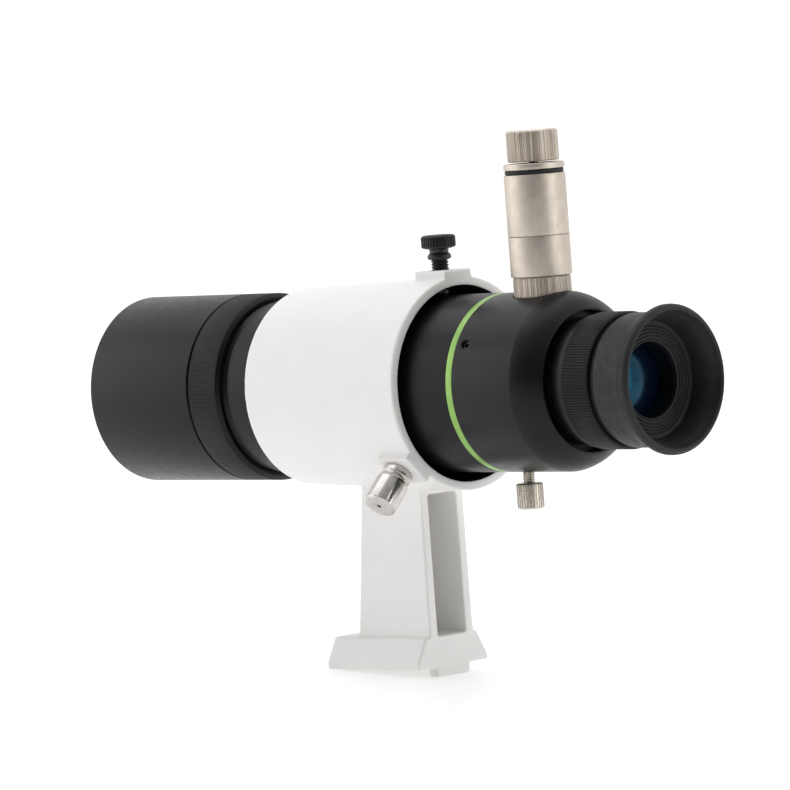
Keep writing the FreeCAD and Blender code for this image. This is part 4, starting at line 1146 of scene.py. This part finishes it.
def eye_lens():
    """The lens next to the eye: a polished convex face with a deep blue coating."""
    land, radius = 12.3, outermost("eye_lens")
    seat, front = -108.4, stations("eye_lens_flint")[0]
    outer_curve, inner_curve = 28.0, 24.0
    steps = 12
    shares = [step / steps for step in range(steps)]
    outline = [(land * share, seat - cap(outer_curve, land, share)) for share in shares]
    outline += [(land, seat), (radius, seat, 0.1), (radius, front, 0.1)]
    for share in reversed(shares):
        outline.append((radius * share, front + cap(inner_curve, radius, share)))
    lens = lathe("eye_lens_ground", OPTICAL, outline, 128)
    deep_blue, cyan = (0.002, 0.005, 0.015), (0.04, 0.52, 0.85)
    lens.data.materials.append(coated_glass("blue_coated_glass", deep_blue, cyan, 0.0, 0.17))
    dress(lens, "eye_lens")


# ---------------------------------------------------------------- stage, light and camera

FOOT_FRONT = 20.9
TAB_BEHIND_FRONT = 41.8
TAB_DROP = -low_high("ring_bracket", "Z")[0]


def floor():
    """A pale table; the finder leans on the foot's front edge and its stop tab."""
    tilt = math.atan2(TAB_DROP, TAB_BEHIND_FRONT)
    radius = 7000.0
    mesh = bpy.data.meshes.new("table")
    work = bmesh.new()
    bmesh.ops.create_circle(work, cap_ends=True, segments=96, radius=radius * MM)
    bmesh.ops.rotate(work, verts=work.verts, matrix=Matrix.Rotation(tilt, 3, "X"))
    bmesh.ops.translate(work, verts=work.verts, vec=(0, FOOT_FRONT * MM, 0))
    work.to_mesh(mesh)
    work.free()
    table = new_object("table", mesh)
    look = Look("pale_table", (0.86, 0.86, 0.86), 0.35, Specular_IOR_Level=0.3)
    look.tint(look.noise(60.0), (0.855, 0.855, 0.855), (0.865, 0.865, 0.865))
    look.shader.inputs["Emission Color"].default_value = (1.0, 1.0, 1.0, 1.0)
    look.shader.inputs["Emission Strength"].default_value = 0.3
    mesh.materials.append(look.material)


def softbox(name, place, aim, width, height, power, colour=(1.0, 1.0, 1.0)):
    """An area light at a place, in millimetres, turned towards aim."""
    data = bpy.data.lights.new(name, "AREA")
    data.shape = "RECTANGLE"
    data.size = width * MM
    data.size_y = height * MM
    data.energy = power
    data.color = colour
    light = new_object(name, data)
    light.location = Vector(place) * MM
    towards = (Vector(aim) - Vector(place)).normalized()
    light.rotation_euler = towards.to_track_quat("-Z", "Y").to_euler()


def studio_light():
    """One softbox above, one at the left in front, one at the right behind, and the studio's walls."""
    centre = (0, 0, AXIS_HEIGHT)
    softbox("overhead", (100, 300, 1400), centre, 1400, 1400, 6.5, (0.95, 0.93, 1.0))
    softbox("left_front", (-950, 1050, 450), centre, 1400, 1400, 6.0)
    softbox("right_rear", (320, -1200, 300), (0, -60, AXIS_HEIGHT), 620, 900, 2.8)
    surround()


BRIGHT_SIDE = (0.72, 0.66, 0.22)
DARK_WALL = (0.07, 0.07, 0.073)
DARK_FACING = -0.8
WHITE_FACING = 0.15


def surround():
    """The studio all round: white above and behind, darker on the side that the camera is on."""
    world = bpy.data.worlds.new("studio")
    bpy.context.scene.world = world
    world.use_nodes = True
    tree = world.node_tree
    place = tree.nodes.new("ShaderNodeTexCoord")
    facing = tree.nodes.new("ShaderNodeVectorMath")
    facing.operation = "DOT_PRODUCT"
    facing.inputs[1].default_value = BRIGHT_SIDE
    ramp = tree.nodes.new("ShaderNodeValToRGB")
    stops = ramp.color_ramp.elements
    stops[0].position = 0.0
    stops[0].color = (*DARK_WALL, 1.0)
    stops[1].position = 1.0
    stops[1].color = (1.0, 1.0, 1.0, 1.0)
    spread = tree.nodes.new("ShaderNodeMapRange")
    spread.inputs["From Min"].default_value = DARK_FACING
    spread.inputs["From Max"].default_value = WHITE_FACING
    tree.links.new(place.outputs["Generated"], facing.inputs[0])
    tree.links.new(facing.outputs["Value"], spread.inputs["Value"])
    tree.links.new(spread.outputs["Result"], ramp.inputs["Fac"])
    background = tree.nodes["Background"]
    tree.links.new(ramp.outputs["Color"], background.inputs["Color"])
    background.inputs["Strength"].default_value = 1.0


CAMERA_PLACE = (-1386.9, -1370.9, 204.5)
CAMERA_FORWARD = (0.7108, 0.7009, -0.0597)
CAMERA_UP = (0.0950, -0.0114, 0.9954)
SENSOR_WIDTH = 36.0
FOCAL_LENGTH = 273.4177


def camera():
    """A long lens, from behind and to the left of the finder and a little above it."""
    forward = Vector(CAMERA_FORWARD).normalized()
    up = Vector(CAMERA_UP)
    right = forward.cross(up).normalized()
    up = right.cross(forward)
    data = bpy.data.cameras.new("camera")
    data.sensor_width = SENSOR_WIDTH
    data.lens = FOCAL_LENGTH
    data.clip_start = 0.05
    data.clip_end = 60.0
    lens = new_object("camera", data)
    turn = Matrix((right, up, -forward)).transposed()
    lens.matrix_world = Matrix.Translation(Vector(CAMERA_PLACE) * MM) @ turn.to_4x4()
    bpy.context.scene.camera = lens
    bpy.context.scene.view_settings.view_transform = "Standard"


# ---------------------------------------------------------------- everything

def build():
    """Every piece, then the table, the lights and the camera."""
    dress_frame()
    ring_bracket()
    plunger_housing()
    adjusting_screw("top_adjusting_screw", TOP_CLOCK)
    adjusting_screw("side_adjusting_screw", SIDE_CLOCK)
    main_tube()
    dew_shield()
    lock_ring()
    objective_retainer()
    accent_ring()
    rear_body()
    clamp_screw()
    reticle_lamp()
    eyepiece_barrel()
    eyecup()
    eye_lens()
    floor()
    studio_light()
    camera()


build()
